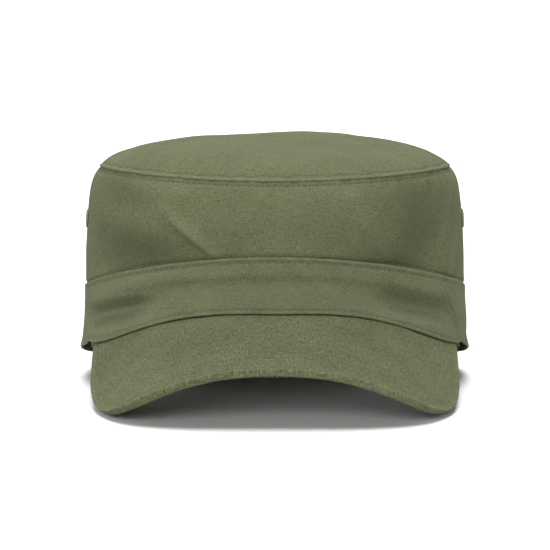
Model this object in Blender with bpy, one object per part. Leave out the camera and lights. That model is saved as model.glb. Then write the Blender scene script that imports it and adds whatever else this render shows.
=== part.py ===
"""Military peaked cap: a soft field cap with a domed top, an upright crown, a headband and a
stiffened visor, closed at the back by a strap in a lever buckle.

Metres, +Z up, the front faces -Y. The origin is below the middle of the cap's box, on the
surface that it rests on with the two visor tips and the back of its band. Left and right are
the wearer's: left is +X. Every wall is a surface of angle and height: angle 0 is the middle of
the front, pi/2 is +X and pi is the middle of the back. Depth is measured inward from the outer
face of the wall, so layers that share the angles nest inside each other.
"""

from math import asin, cos, pi, radians, sin, sqrt

import bmesh
import bpy
from mathutils import Matrix, Vector

MM = 0.001
GAP = 0.3 * MM
OVERRUN = 1.0 * MM

# Plan oval of the band's lower edge.
HALF_WIDTH = 90.8 * MM
HALF_LENGTH = 101.0 * MM
ANGLE_STEP = radians(4)

# Heights round the cap.
FRONT_EDGE_RISE = 43.0 * MM
EDGE_POWER = 1.6
REST_CLIP = 0.8 * MM
BAND_TOP = (46.9 * MM, 18.3 * MM, 3.1 * MM, 0.3 * MM)
SEAM = (98.2 * MM, 5.1 * MM, -1.9 * MM, 0.0)
DOME_CENTRE = 97.5 * MM
DOME_RISE = 17.0 * MM
DOME_ROUND = 0.6
DOME_EDGE_POWER = 8

# Wall shape and cloth thicknesses.
BAND_LEAN = 1.0 * MM
CROWN_STEP = 0.4 * MM
CROWN_LEAN = 3.4 * MM
SHOULDER = 4.2 * MM
SHOULDER_POWER = 14
CLOTH = 1.0 * MM
BAND_CLOTH = 1.2 * MM
CROWN_TUCK = 6.0 * MM
SIDE_SEAM = radians(112)
SEAM_SLIT = radians(0.1)
TAPE = 0.6 * MM
TAPE_HALF_ANGLE = radians(4)
INTERLINING = 0.8 * MM
INTERLINING_END = radians(64)
LABEL_CLOTH = 0.5 * MM

# Sweatband, deeper at the back where the strap runs between it and the band.
SWEAT_FRONT = 3.5 * MM
SWEAT_BACK = 4.9 * MM
SWEAT_HEIGHT = 32.0 * MM
SWEAT_END = radians(150)

# Visor, as a sheet over the plan, arched across and sloping forward.
VISOR_ROOT = 42.6 * MM
VISOR_SLOPE = 0.261
VISOR_ARCH = 36.0 * MM
ARCH_REACH = 80.0 * MM
ARCH_POWER = 2.65
ARCH_GROWTH = 1.17
VISOR_HALF_WIDTH = 84.9 * MM
VISOR_LENGTH = 132.6 * MM
VISOR_BACK = -29.8 * MM
VISOR_SQUARENESS = 3.7
VISOR_INNER = 3.1 * MM
VISOR_END = radians(87)
VISOR_COVER = 0.8 * MM
VISOR_BOARD = 1.4 * MM
VISOR_ROLL = 1.3 * MM
VISOR_ANGLE = radians(74.5)

# Back opening and its closure. The strap runs on a circle that fits the back of the oval.
ARCH_HALF_WIDTH = 40.0 * MM
ARCH_LEG = 18.0 * MM
ARCH_RISE = 34.0 * MM
ARCH_STEPS = 24
BINDING_START = radians(16)
BINDING_EDGE = 1.4 * MM
BINDING_PROUD = 0.4 * MM
BINDING_DEPTH = 3.2 * MM
STRAP_CIRCLE = 84.0 * MM
STRAP_BOTTOM = 4.0 * MM
STRAP_WIDTH = 20.0 * MM
STRAP_DEPTH = 2.8 * MM
STRAP_CLOTH = 1.3 * MM
STRAP_FROM = radians(-44)
STRAP_TO = radians(36)
BUCKLE_ANGLE = radians(18.5)
BUCKLE_WALL = 0.8 * MM
BUCKLE_FLOOR = 4.75 * MM
BUCKLE_PLAY = 0.4 * MM
BUCKLE_FROM = -7.0 * MM
BUCKLE_TO = 9.0 * MM
CHEEK_PROUD = 0.4 * MM
WINDOW_FROM = 5.5 * MM
WINDOW_DEPTH = 3.6 * MM
PIN_AT = (-5.0 * MM, 0.9 * MM)
PIN_RADIUS = 0.7 * MM
PIN_HEAD = 1.25 * MM
PIN_HEAD_THICK = 0.6 * MM
KNUCKLE = 1.7 * MM
BAR_AT = (7.6 * MM, 0.8 * MM)
BAR_RADIUS = 0.8 * MM
TAB_CLOTH = 0.6 * MM
TAB_TAIL = 0.7 * MM
TAB_DEPTH = 1.7 * MM
TAB_TO = radians(41)
TACK_FROM = 42.0 * MM
TACK_TO = 43.6 * MM
TACK_HALF = 4.0 * MM
TACK_MIDDLES = (("lower", 7.5 * MM), ("upper", 20.5 * MM))
TACK_PROUD = 0.8 * MM

# Air eyelets, two on each side.
EYELET_ANGLES = (radians(84), radians(99))
EYELET_HEIGHT = 76.5 * MM
EYELET_HOLE = 3.0 * MM
EYELET_FLANGE = 4.5 * MM
EYELET_SIDES = 18
WASHER = 0.5 * MM

# The visor reaches further than the back, so the wall's oval sits behind the origin.
OVAL_SHIFT = (VISOR_LENGTH - VISOR_BACK - HALF_LENGTH) / 2

OLIVE = (0.165, 0.175, 0.098)
OLIVE_DARK = (0.115, 0.122, 0.068)
TWILL = (0.135, 0.142, 0.08)
BUCKRAM = (0.62, 0.6, 0.53)
BOARD = (0.72, 0.72, 0.7)
LABEL = (0.78, 0.77, 0.73)
GUNMETAL = (0.13, 0.125, 0.11)


def clear_scene():
    for item in list(bpy.data.objects):
        bpy.data.objects.remove(item)


def material(name, colour, roughness=0.9, metallic=0.0):
    made = bpy.data.materials.get(name)
    if made:
        return made
    made = bpy.data.materials.new(name)
    made.use_nodes = True
    shader = made.node_tree.nodes["Principled BSDF"]
    shader.inputs["Base Color"].default_value = (*colour, 1)
    shader.inputs["Roughness"].default_value = roughness
    shader.inputs["Metallic"].default_value = metallic
    return made


def fabric(name, colour):
    return material(name, colour, roughness=0.92)


def metal():
    return material("gunmetal", GUNMETAL, roughness=0.35, metallic=1.0)


def new_object(name, mesh, finish):
    made = bpy.data.objects.new(name, mesh)
    bpy.context.collection.objects.link(made)
    made.data.materials.append(finish)
    return made


def mesh_from(name, points, faces):
    """A closed mesh with its faces turned outward."""
    build = bmesh.new()
    corners = [build.verts.new(point) for point in points]
    for face in faces:
        build.faces.new([corners[i] for i in face])
    bmesh.ops.recalc_face_normals(build, faces=build.faces)
    mesh = bpy.data.meshes.new(name)
    build.to_mesh(mesh)
    build.free()
    return mesh


def skin(rows_out, rows_in, ring=False):
    """Points and faces of a slab between two grids of points, open or closed round. Every grid
    is split along the same diagonals, so that thin layers nest."""
    height, width = len(rows_out), len(rows_out[0])
    points = [p for row in rows_out for p in row] + [p for row in rows_in for p in row]
    under = height * width
    steps = width if ring else width - 1
    faces = []
    for i in range(height - 1):
        for j in range(steps):
            k = (j + 1) % width
            a, b, c, d = i * width + j, i * width + k, (i + 1) * width + k, (i + 1) * width + j
            faces += [(a, b, c), (a, c, d)]
            faces += [(under + c, under + b, under + a), (under + d, under + c, under + a)]
    for j in range(steps):
        k = (j + 1) % width
        faces.append((under + j, under + k, k, j))
        top = (height - 1) * width
        faces.append((top + j, top + k, under + top + k, under + top + j))
    if not ring:
        for i in range(height - 1):
            a, d = i * width, (i + 1) * width
            faces.append((a, d, under + d, under + a))
            b, c = a + width - 1, d + width - 1
            faces.append((c, b, under + b, under + c))
    return points, faces


def slab(name, rows_out, rows_in, finish, ring=False):
    return new_object(name, mesh_from(name, *skin(rows_out, rows_in, ring)), finish)


def loft(name, sections, finish):
    """A solid through closed sections that all have the same number of points."""
    count = len(sections[0])
    points = [p for section in sections for p in section]
    faces = [tuple(range(count)), tuple(len(points) - count + i for i in range(count))]
    for i in range(len(sections) - 1):
        for j in range(count):
            k = (j + 1) % count
            faces.append((i * count + j, i * count + k, (i + 1) * count + k, (i + 1) * count + j))
    return new_object(name, mesh_from(name, points, faces), finish)


def turned(name, profile, place, finish):
    """A ring turned from a closed profile of (radius, height) about the local Z axis."""
    segments = EYELET_SIDES
    sections = []
    for i in range(segments):
        turn = 2 * pi * i / segments
        sections.append([Vector((r * cos(turn), r * sin(turn), h)) for r, h in profile])
    count = len(profile)
    points = [place @ p for section in sections for p in section]
    faces = []
    for i in range(segments):
        k = (i + 1) % segments
        for j in range(count):
            m = (j + 1) % count
            faces.append((i * count + j, i * count + m, k * count + m, k * count + j))
    return new_object(name, mesh_from(name, points, faces), finish)


def prism(name, outline, low, high, finish):
    """A closed (x, y) outline raised from one height to another."""
    sections = [[Vector((x, y, z)) for x, y in outline] for z in (low, high)]
    return loft(name, sections, finish)


def cut(target, cutter):
    """Takes the cutter's shape out of the target and hides the cutter."""
    cutter.hide_render = True
    cutter.display_type = "WIRE"
    modifier = target.modifiers.new(cutter.name, "BOOLEAN")
    modifier.operation = "DIFFERENCE"
    modifier.solver = "EXACT"
    modifier.object = cutter


def smooth_step(value, start, end):
    share = min(max((value - start) / (end - start), 0), 1)
    return share * share * (3 - 2 * share)


def wave(series, angle):
    return sum(size * cos(k * angle) for k, size in enumerate(series))


def band_top(angle):
    return wave(BAND_TOP, angle)


def seam_height(angle):
    return wave(SEAM, angle)


def oval(angle, inset):
    x = (HALF_WIDTH - inset) * sin(angle)
    y = -(HALF_LENGTH - inset) * cos(angle)
    return x, y


def upright(angle):
    """1 where the band leans in, falling to 0 at the back, where it stands straight."""
    return 1 - smooth_step(abs(angle), radians(110), radians(135))


def visor_top(x, y):
    forward = -HALF_LENGTH - y
    arch = VISOR_ARCH * (abs(x) / ARCH_REACH) ** ARCH_POWER
    return VISOR_ROOT - VISOR_SLOPE * forward - arch * (1 + ARCH_GROWTH * forward)


def visor_normal(x, y):
    step = 0.1 * MM
    dx = (visor_top(x + step, y) - visor_top(x - step, y)) / (2 * step)
    dy = (visor_top(x, y + step) - visor_top(x, y - step)) / (2 * step)
    return Vector((-dx, -dy, 1)).normalized()


def rear_edge(angle):
    """Height of the band's lower edge behind the visor: flat on the table at the back."""
    return max(0, FRONT_EDGE_RISE * ((1 + cos(angle)) / 2) ** EDGE_POWER - REST_CLIP)


def lower_edge(angle, depth):
    """Height of the band's lower edge, which sits on the visor as far as the visor's ends."""
    if abs(angle) > VISOR_ANGLE:
        return rear_edge(angle)
    x, y = oval(angle, depth)
    return visor_top(x, y) + GAP / visor_normal(x, y).z


def band_point(angle, share, depth):
    """A point of the band's wall: share 0 is its lower edge, and 1 its upper edge."""
    low = lower_edge(angle, depth)
    inset = BAND_LEAN * share * upright(angle) + depth
    x, y = oval(angle, inset)
    return Vector((x, y + OVAL_SHIFT, low + (band_top(angle) - low) * share))


def crown_inset(angle, share):
    base = BAND_LEAN * upright(angle) + CROWN_STEP
    return base + CROWN_LEAN * share**2 + SHOULDER * share**SHOULDER_POWER


def crown_point(angle, share, depth):
    """A point of the crown's wall: share 0 is the band's upper edge, and 1 the top seam."""
    x, y = oval(angle, crown_inset(angle, share) + depth)
    low = band_top(angle)
    return Vector((x, y + OVAL_SHIFT, low + (seam_height(angle) - low) * share))


def tuck_point(angle, below, depth):
    """A point of the crown's lower end, which goes down inside the band."""
    inset = BAND_LEAN * upright(angle) + BAND_CLOTH + GAP + depth
    x, y = oval(angle, inset)
    return Vector((x, y + OVAL_SHIFT, band_top(angle) - below))


def angles(start, end):
    """The shared angles between two ends, with the ends themselves."""
    first = int(start / ANGLE_STEP) - 1
    last = int(end / ANGLE_STEP) + 1
    margin = ANGLE_STEP / 5
    between = [i * ANGLE_STEP for i in range(first, last + 1)]
    return [start] + [t for t in between if start + margin < t < end - margin] + [end]


def band_angles(start, end):
    """As angles, with the step in the lower edge at the visor's ends."""
    found = angles(start, end)
    for side in (-1, 1):
        for turn in (VISOR_ANGLE, VISOR_ANGLE + radians(0.5)):
            if start < side * turn < end:
                found.append(side * turn)
    return sorted(found)


def crown_wall(name, start, end):
    turns = angles(start, end)
    rows = {}
    for depth in (0, CLOTH):
        low = [[tuck_point(t, CROWN_TUCK, depth) for t in turns]]
        low.append([tuck_point(t, -GAP, depth) for t in turns])
        above = [(1.3 * MM) / (seam_height(t) - band_top(t)) for t in turns]
        low.append([crown_point(t, share, depth) for t, share in zip(turns, above)])
        for share in (0.25, 0.5, 0.7, 0.84, 0.93):
            low.append([crown_point(t, share, depth) for t in turns])
        top = [crown_point(t, 1, depth) - Vector((0, 0, GAP)) for t in turns]
        rows[depth] = low + [top]
    return slab(name, rows[0], rows[CLOTH], fabric("cotton canvas", OLIVE))


def crown_strip(name, turns, shares, depth, thickness, finish, ring=False):
    """A layer inside the crown's wall, such as a tape or the interlining."""
    rows = {}
    for d in (depth, depth + thickness):
        rows[d] = [[crown_point(t, share, d) for t in turns] for share in shares]
    return slab(name, rows[depth], rows[depth + thickness], finish, ring)


def seam_tape(name, middle, low):
    turns = [middle - TAPE_HALF_ANGLE, middle, middle + TAPE_HALF_ANGLE]
    shares = (low, 0.5, 0.7, 0.84, 0.93)
    depth = CLOTH + GAP
    return crown_strip(name, turns, shares, depth, TAPE, fabric("binding tape", OLIVE_DARK))


def crown_dome():
    """The top panel: rings from its middle out to the seam."""
    turns = angles(-pi, pi)[:-1]
    shares = (0.22, 0.45, 0.63, 0.78, 0.89, 0.96, 1.0)
    inset = crown_inset(0, 1)
    points = []
    for lift in (CLOTH, 0):
        middle = DOME_CENTRE + DOME_RISE + lift
        points.append(Vector((0, OVAL_SHIFT, middle)))
        for share in shares:
            for t in turns:
                x, y = oval(t, inset - BAND_LEAN * (1 - upright(t)))
                rise = 1 - DOME_ROUND * share**2 - (1 - DOME_ROUND) * share**DOME_EDGE_POWER
                base = DOME_CENTRE + (seam_height(t) - DOME_CENTRE) * share**2
                height = base + DOME_RISE * rise + lift
                points.append(Vector((x * share, y * share + OVAL_SHIFT, height)))
    count = len(turns)
    layer = 1 + len(shares) * count
    faces = []
    for side in (0, 1):
        start = side * layer
        for j in range(count):
            k = (j + 1) % count
            faces.append((start, start + 1 + j, start + 1 + k))
            for i in range(len(shares) - 1):
                a = start + 1 + i * count
                faces.append((a + j, a + count + j, a + count + k, a + k))
    rim = 1 + (len(shares) - 1) * count
    for j in range(count):
        k = (j + 1) % count
        faces.append((rim + j, rim + k, layer + rim + k, layer + rim + j))
    finish = fabric("cotton canvas", OLIVE)
    return new_object("crown_top", mesh_from("crown_top", points, faces), finish)


def band(name, start, end):
    turns = band_angles(start, end)
    rows = {}
    for depth in (0, BAND_CLOTH):
        rows[depth] = [[band_point(t, share, depth) for t in turns] for share in (0, 0.5, 1)]
    return slab(name, rows[0], rows[BAND_CLOTH], fabric("cotton canvas", OLIVE))


def sweat_depth(angle):
    return SWEAT_FRONT + (SWEAT_BACK - SWEAT_FRONT) * smooth_step(
        abs(angle), radians(95), radians(130)
    )


def visor_depth():
    return 2 * VISOR_COVER + VISOR_BOARD + 2 * GAP


def sweat_point(angle, share, depth):
    inset = sweat_depth(angle) + BAND_LEAN * share * upright(angle) + depth
    x, y = oval(angle, inset)
    if abs(angle) > VISOR_ANGLE:
        low = rear_edge(angle) + 0.6 * MM
    else:
        low = visor_top(x, y) - visor_depth()
    high = min(rear_edge(angle) + SWEAT_HEIGHT, band_top(angle) + 3 * MM)
    return Vector((x, y + OVAL_SHIFT, low + (high - low) * share))


def sweatband():
    turns = band_angles(-SWEAT_END, SWEAT_END)
    rows = {}
    for depth in (0, CLOTH):
        rows[depth] = [[sweat_point(t, share, depth) for t in turns] for share in (0, 1)]
    return slab("sweatband", rows[0], rows[CLOTH], fabric("sweatband twill", TWILL))


def inner_label(name, start, end):
    """A blank label sewn to the inside of the sweatband."""
    turns = [start, (start + end) / 2, end]
    rows = {}
    for depth in (CLOTH + GAP, CLOTH + GAP + LABEL_CLOTH):
        rows[depth] = [[sweat_point(t, share, depth) for t in turns] for share in (0.2, 0.85)]
    first, second = rows.values()
    return slab(name, first, second, fabric("label", LABEL))


def visor_outer(turn):
    """Distance of the visor's edge from the middle of its back line, in a direction."""
    across = (abs(sin(turn)) / VISOR_HALF_WIDTH) ** VISOR_SQUARENESS
    ahead = (abs(cos(turn)) / VISOR_LENGTH) ** VISOR_SQUARENESS
    return (across + ahead) ** (-1 / VISOR_SQUARENESS)


def visor_inner(turn):
    """Distance of the visor's inner edge, which follows the oval inside the band."""
    a, b = HALF_WIDTH - VISOR_INNER, HALF_LENGTH - VISOR_INNER
    square = (sin(turn) / a) ** 2 + (cos(turn) / b) ** 2
    linear = -2 * VISOR_BACK * cos(turn) / b**2
    rest = (VISOR_BACK / b) ** 2 - 1
    return (-linear + sqrt(linear**2 - 4 * square * rest)) / (2 * square)


def visor_point(turn, share, depth, trim=0.0):
    """A point of the visor: share 0 is its inner edge, and 1 its outer edge."""
    start, end = visor_inner(turn), visor_outer(turn)
    reach = min(start + (end - start) * share, end - trim)
    x, y = reach * sin(turn), VISOR_BACK - reach * cos(turn)
    normal = visor_normal(x, y)
    straight = Vector((0, 0, 1 / normal.z))
    way = straight.lerp(normal, smooth_step(reach - start, VISOR_INNER, 5 * VISOR_INNER))
    return Vector((x, y + OVAL_SHIFT, visor_top(x, y))) - way * depth


def visor_turns():
    return [VISOR_END * i / 18 for i in range(-18, 19)]


VISOR_SHARES = (0, 0.25, 0.5, 0.75, 1)


def visor_rows(depth, trims):
    """Grid of the visor at a depth, from its inner edge to its outer edge less the trims."""
    turns = visor_turns()
    return [
        [visor_point(turn, share, depth, trim) for turn, trim in zip(turns, trims)]
        for share in VISOR_SHARES
    ]


def visor_trims(most):
    """Trims at the outer edge, less where the visor narrows to its ends."""
    widths = [visor_outer(turn) - visor_inner(turn) for turn in visor_turns()]
    return [min(most, most / VISOR_ROLL * 0.4 * width) for width in widths]


def visor_cover():
    """The upper cover, rolled down round the edge of the board."""
    roll, none = visor_trims(VISOR_ROLL - GAP), visor_trims(0.0)
    over = visor_rows(0, none) + [visor_rows(visor_depth(), none)[-1]]
    back = visor_rows(VISOR_COVER, roll) + [visor_rows(visor_depth(), roll)[-1]]
    return slab("visor_top_cover", over, back, fabric("cotton canvas", OLIVE))


def visor_layer(name, depth, thickness, finish):
    """A layer that lies inside the roll of the upper cover."""
    trims = visor_trims(VISOR_ROLL)
    return slab(name, visor_rows(depth, trims), visor_rows(depth + thickness, trims), finish)


def arch_outline():
    """The back opening seen along Y, as (x, z), from one foot over the top to the other."""
    points = [(ARCH_HALF_WIDTH, -5 * OVERRUN)]
    for i in range(ARCH_STEPS + 1):
        turn = pi * i / ARCH_STEPS
        points.append((ARCH_HALF_WIDTH * cos(turn), ARCH_LEG + ARCH_RISE * sin(turn)))
    points.append((-ARCH_HALF_WIDTH, -5 * OVERRUN))
    return points


def arch_cutter():
    outline = arch_outline()
    sections = []
    for y in (HALF_LENGTH / 2, HALF_LENGTH * 1.2):
        sections.append([Vector((x, y + OVAL_SHIFT, z)) for x, z in outline])
    return loft("arch_cutter", sections, fabric("cotton canvas", OLIVE))


def wall_inset(angle, height):
    """Inset of the outer face of the wall at a height, band or crown."""
    low = band_top(angle)
    share = (height - low) / (seam_height(angle) - low)
    if share <= 0:
        return 0.0
    return crown_inset(angle, share) * min(1, share * 8)


def arch_binding():
    """The tape bound round the edge of the back opening, above the strap."""
    sections = []
    corners = [
        (GAP, -BINDING_PROUD),
        (BINDING_EDGE, -BINDING_PROUD),
        (BINDING_EDGE, BINDING_DEPTH),
        (GAP, BINDING_DEPTH),
    ]
    for i in range(ARCH_STEPS + 1):
        turn = BINDING_START + (pi - 2 * BINDING_START) * i / ARCH_STEPS
        section = []
        for inward, depth in corners:
            x = (ARCH_HALF_WIDTH - inward) * cos(turn)
            z = ARCH_LEG + (ARCH_RISE - inward) * sin(turn)
            angle = pi - asin(x / HALF_WIDTH)
            inset = wall_inset(angle, z) + depth
            y = (HALF_LENGTH - inset) * sqrt(1 - (x / (HALF_WIDTH - inset)) ** 2)
            section.append(Vector((x, y + OVAL_SHIFT, z)))
        sections.append(section)
    return loft("arch_binding", sections, fabric("binding tape", OLIVE_DARK))


def strap_point(angle, depth):
    """A point (x, y) on the circle that the strap follows."""
    radius = STRAP_CIRCLE - depth
    y = HALF_LENGTH - STRAP_CIRCLE + OVAL_SHIFT + radius * cos(angle)
    return radius * sin(angle), y


def strap():
    count = 20
    turns = [STRAP_FROM + (STRAP_TO - STRAP_FROM) * i / count for i in range(count + 1)]
    outline = [strap_point(t, STRAP_DEPTH) for t in turns]
    outline += [strap_point(t, STRAP_DEPTH + STRAP_CLOTH) for t in reversed(turns)]
    top = STRAP_BOTTOM + STRAP_WIDTH
    return prism("closure_strap", outline, STRAP_BOTTOM, top, fabric("cotton canvas", OLIVE))


def buckle_place():
    """Local axes of the buckle: X along the strap, Y outward, origin on the band's outer face."""
    x, y = strap_point(BUCKLE_ANGLE, 0)
    turn = Matrix.Rotation(-BUCKLE_ANGLE, 4, "Z")
    return Matrix.Translation((x, y, 0)) @ turn


def buckle_outline(points):
    """World (x, y) of local (along, depth) pairs."""
    place = buckle_place()
    found = [place @ Vector((along, -depth, 0)) for along, depth in points]
    return [(p.x, p.y) for p in found]


def circle(middle, radius, count, start=0.0, sweep=2 * pi):
    steps = count if sweep >= 2 * pi else count - 1
    return [
        (
            middle[0] + radius * cos(start + sweep * i / steps),
            middle[1] + radius * sin(start + sweep * i / steps),
        )
        for i in range(count)
    ]


def rectangle(along_from, along_to, depth_from, depth_to):
    return [
        (along_from, depth_from),
        (along_to, depth_from),
        (along_to, depth_to),
        (along_from, depth_to),
    ]


def buckle_frame():
    """A floor behind the strap, a cheek above and below it, and the bar that the tab holds."""
    low = STRAP_BOTTOM - BUCKLE_PLAY - BUCKLE_WALL
    high = STRAP_BOTTOM + STRAP_WIDTH + BUCKLE_PLAY + BUCKLE_WALL
    back = BUCKLE_FLOOR + BUCKLE_WALL
    outline = buckle_outline(rectangle(BUCKLE_FROM, BUCKLE_TO, -CHEEK_PROUD, back))
    frame = prism("buckle_frame", outline, low, high, metal())
    inside = rectangle(BUCKLE_FROM - OVERRUN, BUCKLE_TO + OVERRUN, -OVERRUN, BUCKLE_FLOOR)
    channel = prism(
        "buckle_channel", buckle_outline(inside), low + BUCKLE_WALL, high - BUCKLE_WALL, metal()
    )
    cut(frame, channel)
    window = prism(
        "buckle_window",
        buckle_outline(rectangle(WINDOW_FROM, BUCKLE_TO + OVERRUN, WINDOW_DEPTH, back + OVERRUN)),
        low + BUCKLE_WALL,
        high - BUCKLE_WALL,
        metal(),
    )
    cut(frame, window)
    hole = prism(
        "buckle_pin_hole",
        buckle_outline(circle(PIN_AT, PIN_RADIUS + GAP, 14)),
        low - OVERRUN,
        high + OVERRUN,
        metal(),
    )
    cut(frame, hole)
    bar = prism(
        "buckle_bar",
        buckle_outline(circle(BAR_AT, BAR_RADIUS, 14)),
        low + BUCKLE_WALL / 2,
        high - BUCKLE_WALL / 2,
        metal(),
    )
    bar.hide_render = True
    bar.display_type = "WIRE"
    joined = frame.modifiers.new("bar", "BOOLEAN")
    joined.operation = "UNION"
    joined.solver = "EXACT"
    joined.object = bar
    return frame


def buckle_pin():
    """The lever's pin, with a head outside each cheek of the frame."""
    low = STRAP_BOTTOM - BUCKLE_PLAY - BUCKLE_WALL - GAP
    high = STRAP_BOTTOM + STRAP_WIDTH + BUCKLE_PLAY + BUCKLE_WALL + GAP
    levels = [
        (low - PIN_HEAD_THICK, PIN_HEAD),
        (low, PIN_HEAD),
        (low, PIN_RADIUS),
        (high, PIN_RADIUS),
        (high, PIN_HEAD),
        (high + PIN_HEAD_THICK, PIN_HEAD),
    ]
    sections = []
    for z, radius in levels:
        ring = buckle_outline(circle(PIN_AT, radius, 14))
        sections.append([Vector((x, y, z)) for x, y in ring])
    return loft("buckle_pin", sections, metal())


def buckle_lever():
    """A plate that lies over the strap and turns out about the pin."""
    low = STRAP_BOTTOM + GAP
    high = STRAP_BOTTOM + STRAP_WIDTH - GAP
    outer = circle(PIN_AT, KNUCKLE, 13, radians(10), radians(250))
    tip = [(4.6 * MM, -0.9 * MM), (5.3 * MM, -1.3 * MM), (5.3 * MM, -0.4 * MM), (4.6 * MM, 0)]
    outline = outer + [(-3.4 * MM, -0.9 * MM)] + tip + [(-2.6 * MM, 0.0)]
    lever = prism("buckle_lever", buckle_outline(outline), low, high, metal())
    hole = prism(
        "lever_hole",
        buckle_outline(circle(PIN_AT, PIN_RADIUS + GAP, 14)),
        low - OVERRUN,
        high + OVERRUN,
        metal(),
    )
    cut(lever, hole)
    return lever


def buckle_tab():
    """A short loop of cloth round the frame's bar, whose tail goes inside the band."""
    loop = BAR_RADIUS + GAP + TAB_CLOTH
    outline = buckle_outline(circle(BAR_AT, loop, 13, radians(90), radians(230)))
    begin = BUCKLE_ANGLE + (BAR_AT[0] + 1.4 * MM) / STRAP_CIRCLE
    turns = [begin + (TAB_TO - begin) * i / 6 for i in range(7)]
    outline += [strap_point(t, TAB_DEPTH) for t in turns]
    outline += [strap_point(t, TAB_DEPTH + TAB_TAIL) for t in reversed(turns)]
    low = STRAP_BOTTOM + 1.5 * MM
    high = STRAP_BOTTOM + STRAP_WIDTH - 1.5 * MM
    tab = prism("buckle_tab", outline, low, high, fabric("cotton canvas", OLIVE))
    hole = prism(
        "tab_hole",
        buckle_outline(circle(BAR_AT, BAR_RADIUS + GAP, 14)),
        low - OVERRUN,
        high + OVERRUN,
        metal(),
    )
    cut(tab, hole)
    return tab


def bar_tacks():
    """Dense short rows of stitches at the four corners of the back opening's legs."""
    for side_name, side in (("left", 1), ("right", -1)):
        for level, middle in TACK_MIDDLES:
            out, back = [], []
            for across in (TACK_FROM, TACK_TO):
                angle = side * (pi - asin(across / HALF_WIDTH))
                for rows, depth in ((out, -TACK_PROUD), (back, -GAP)):
                    x, y = oval(angle, depth)
                    ends = (middle - TACK_HALF, middle + TACK_HALF)
                    rows.append([Vector((x, y + OVAL_SHIFT, z)) for z in ends])
            slab(f"bar_tack_{side_name}_{level}", out, back, fabric("thread", OLIVE_DARK))


def eyelet_place(angle):
    """Local Z is the outward normal of the crown's wall, with the origin on its outer face."""
    share = (EYELET_HEIGHT - band_top(angle)) / (seam_height(angle) - band_top(angle))
    middle = crown_point(angle, share, 0)
    along = crown_point(angle + 0.02, share, 0) - crown_point(angle - 0.02, share, 0)
    up = crown_point(angle, share + 0.02, 0) - crown_point(angle, share - 0.02, 0)
    normal = along.cross(up).normalized()
    if normal.x * middle.x < 0:
        normal = -normal
    return Matrix.Translation(middle) @ normal.to_track_quat("Z", "Y").to_matrix().to_4x4()


def eyelets(wall, side_name, side):
    for spot, angle in zip(("front", "rear"), EYELET_ANGLES):
        place = eyelet_place(side * angle)
        barrel = EYELET_HOLE - GAP
        throat = barrel - 0.5 * MM
        rim = [
            (throat, -2.0 * MM),
            (barrel, -2.0 * MM),
            (barrel, GAP),
            (EYELET_FLANGE, GAP),
            (EYELET_FLANGE - 0.3 * MM, 0.8 * MM),
            (3.4 * MM, 1.2 * MM),
            (throat + 0.2 * MM, 0.9 * MM),
            (throat, 0.4 * MM),
        ]
        turned(f"eyelet_{side_name}_{spot}", rim, place, metal())
        inside = -CLOTH - GAP
        washer = [
            (EYELET_HOLE, inside - WASHER),
            (EYELET_FLANGE + GAP, inside - WASHER),
            (EYELET_FLANGE + GAP, inside),
            (EYELET_HOLE, inside),
        ]
        turned(f"eyelet_washer_{side_name}_{spot}", washer, place, metal())
        ring = circle((0, 0), EYELET_HOLE, EYELET_SIDES)
        reach = 5 * OVERRUN
        sections = [[place @ Vector((x, y, z)) for x, y in ring] for z in (-reach, reach)]
        cut(wall, loft(f"hole_{side_name}_{spot}", sections, metal()))


def crown():
    crown_dome()
    front = crown_wall("crown_front", -SIDE_SEAM + SEAM_SLIT, SIDE_SEAM - SEAM_SLIT)
    left = crown_wall("crown_rear_left", SIDE_SEAM + SEAM_SLIT, pi - SEAM_SLIT)
    right = crown_wall("crown_rear_right", -pi + SEAM_SLIT, -SIDE_SEAM - SEAM_SLIT)
    eyelets(front, "left", 1)
    eyelets(front, "right", -1)
    turns = angles(-INTERLINING_END, INTERLINING_END)
    shares = (0.12, 0.4, 0.65, 0.84, 0.93)
    stiff = fabric("buckram", BUCKRAM)
    crown_strip("crown_interlining", turns, shares, CLOTH + GAP, INTERLINING, stiff)
    ring = angles(-pi, pi)[:-1]
    tape = fabric("binding tape", OLIVE_DARK)
    depth = CLOTH + 2 * GAP + INTERLINING
    crown_strip("top_seam_tape", ring, (0.8, 0.9, 0.97), depth, TAPE, tape, ring=True)
    seam_tape("side_seam_tape_left", SIDE_SEAM, 0.1)
    seam_tape("side_seam_tape_right", -SIDE_SEAM, 0.1)
    seam_tape("back_seam_tape", pi, 0.45)
    return left, right


def headband():
    band("band_front", -SIDE_SEAM + SEAM_SLIT, SIDE_SEAM - SEAM_SLIT)
    left = band("band_rear_left", SIDE_SEAM + SEAM_SLIT, pi - SEAM_SLIT)
    right = band("band_rear_right", -pi + SEAM_SLIT, -SIDE_SEAM - SEAM_SLIT)
    sweatband()
    inner_label("size_label", radians(136), radians(144))
    inner_label("care_label", radians(-146), radians(-134))
    bar_tacks()
    return left, right


def visor():
    visor_cover()
    board_depth = VISOR_COVER + GAP
    visor_layer("visor_board", board_depth, VISOR_BOARD, material("visor board", BOARD, 0.6))
    under = board_depth + VISOR_BOARD + GAP
    visor_layer("visor_under_cover", under, VISOR_COVER, fabric("cotton canvas", OLIVE))


def closure():
    arch_binding()
    strap()
    buckle_frame()
    buckle_pin()
    buckle_lever()
    buckle_tab()


clear_scene()
rear_walls = crown() + headband()
opening = arch_cutter()
for rear_wall in rear_walls:
    cut(rear_wall, opening)
visor()
closure()
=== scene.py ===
"""The looks of a soft peaked field cap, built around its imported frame. Metres, +Z up, front at -Y.

The walls are surfaces of angle and height: angle 0 is the middle of the front, pi/2 is +X and pi
is the middle of the back. Inset is measured inward from the oval of the band's lower edge.
A piece of cloth is a thick sheet with real folds: a row of closed rings, one for each angle.
"""

from math import asin, cos, pi, radians, sin

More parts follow.
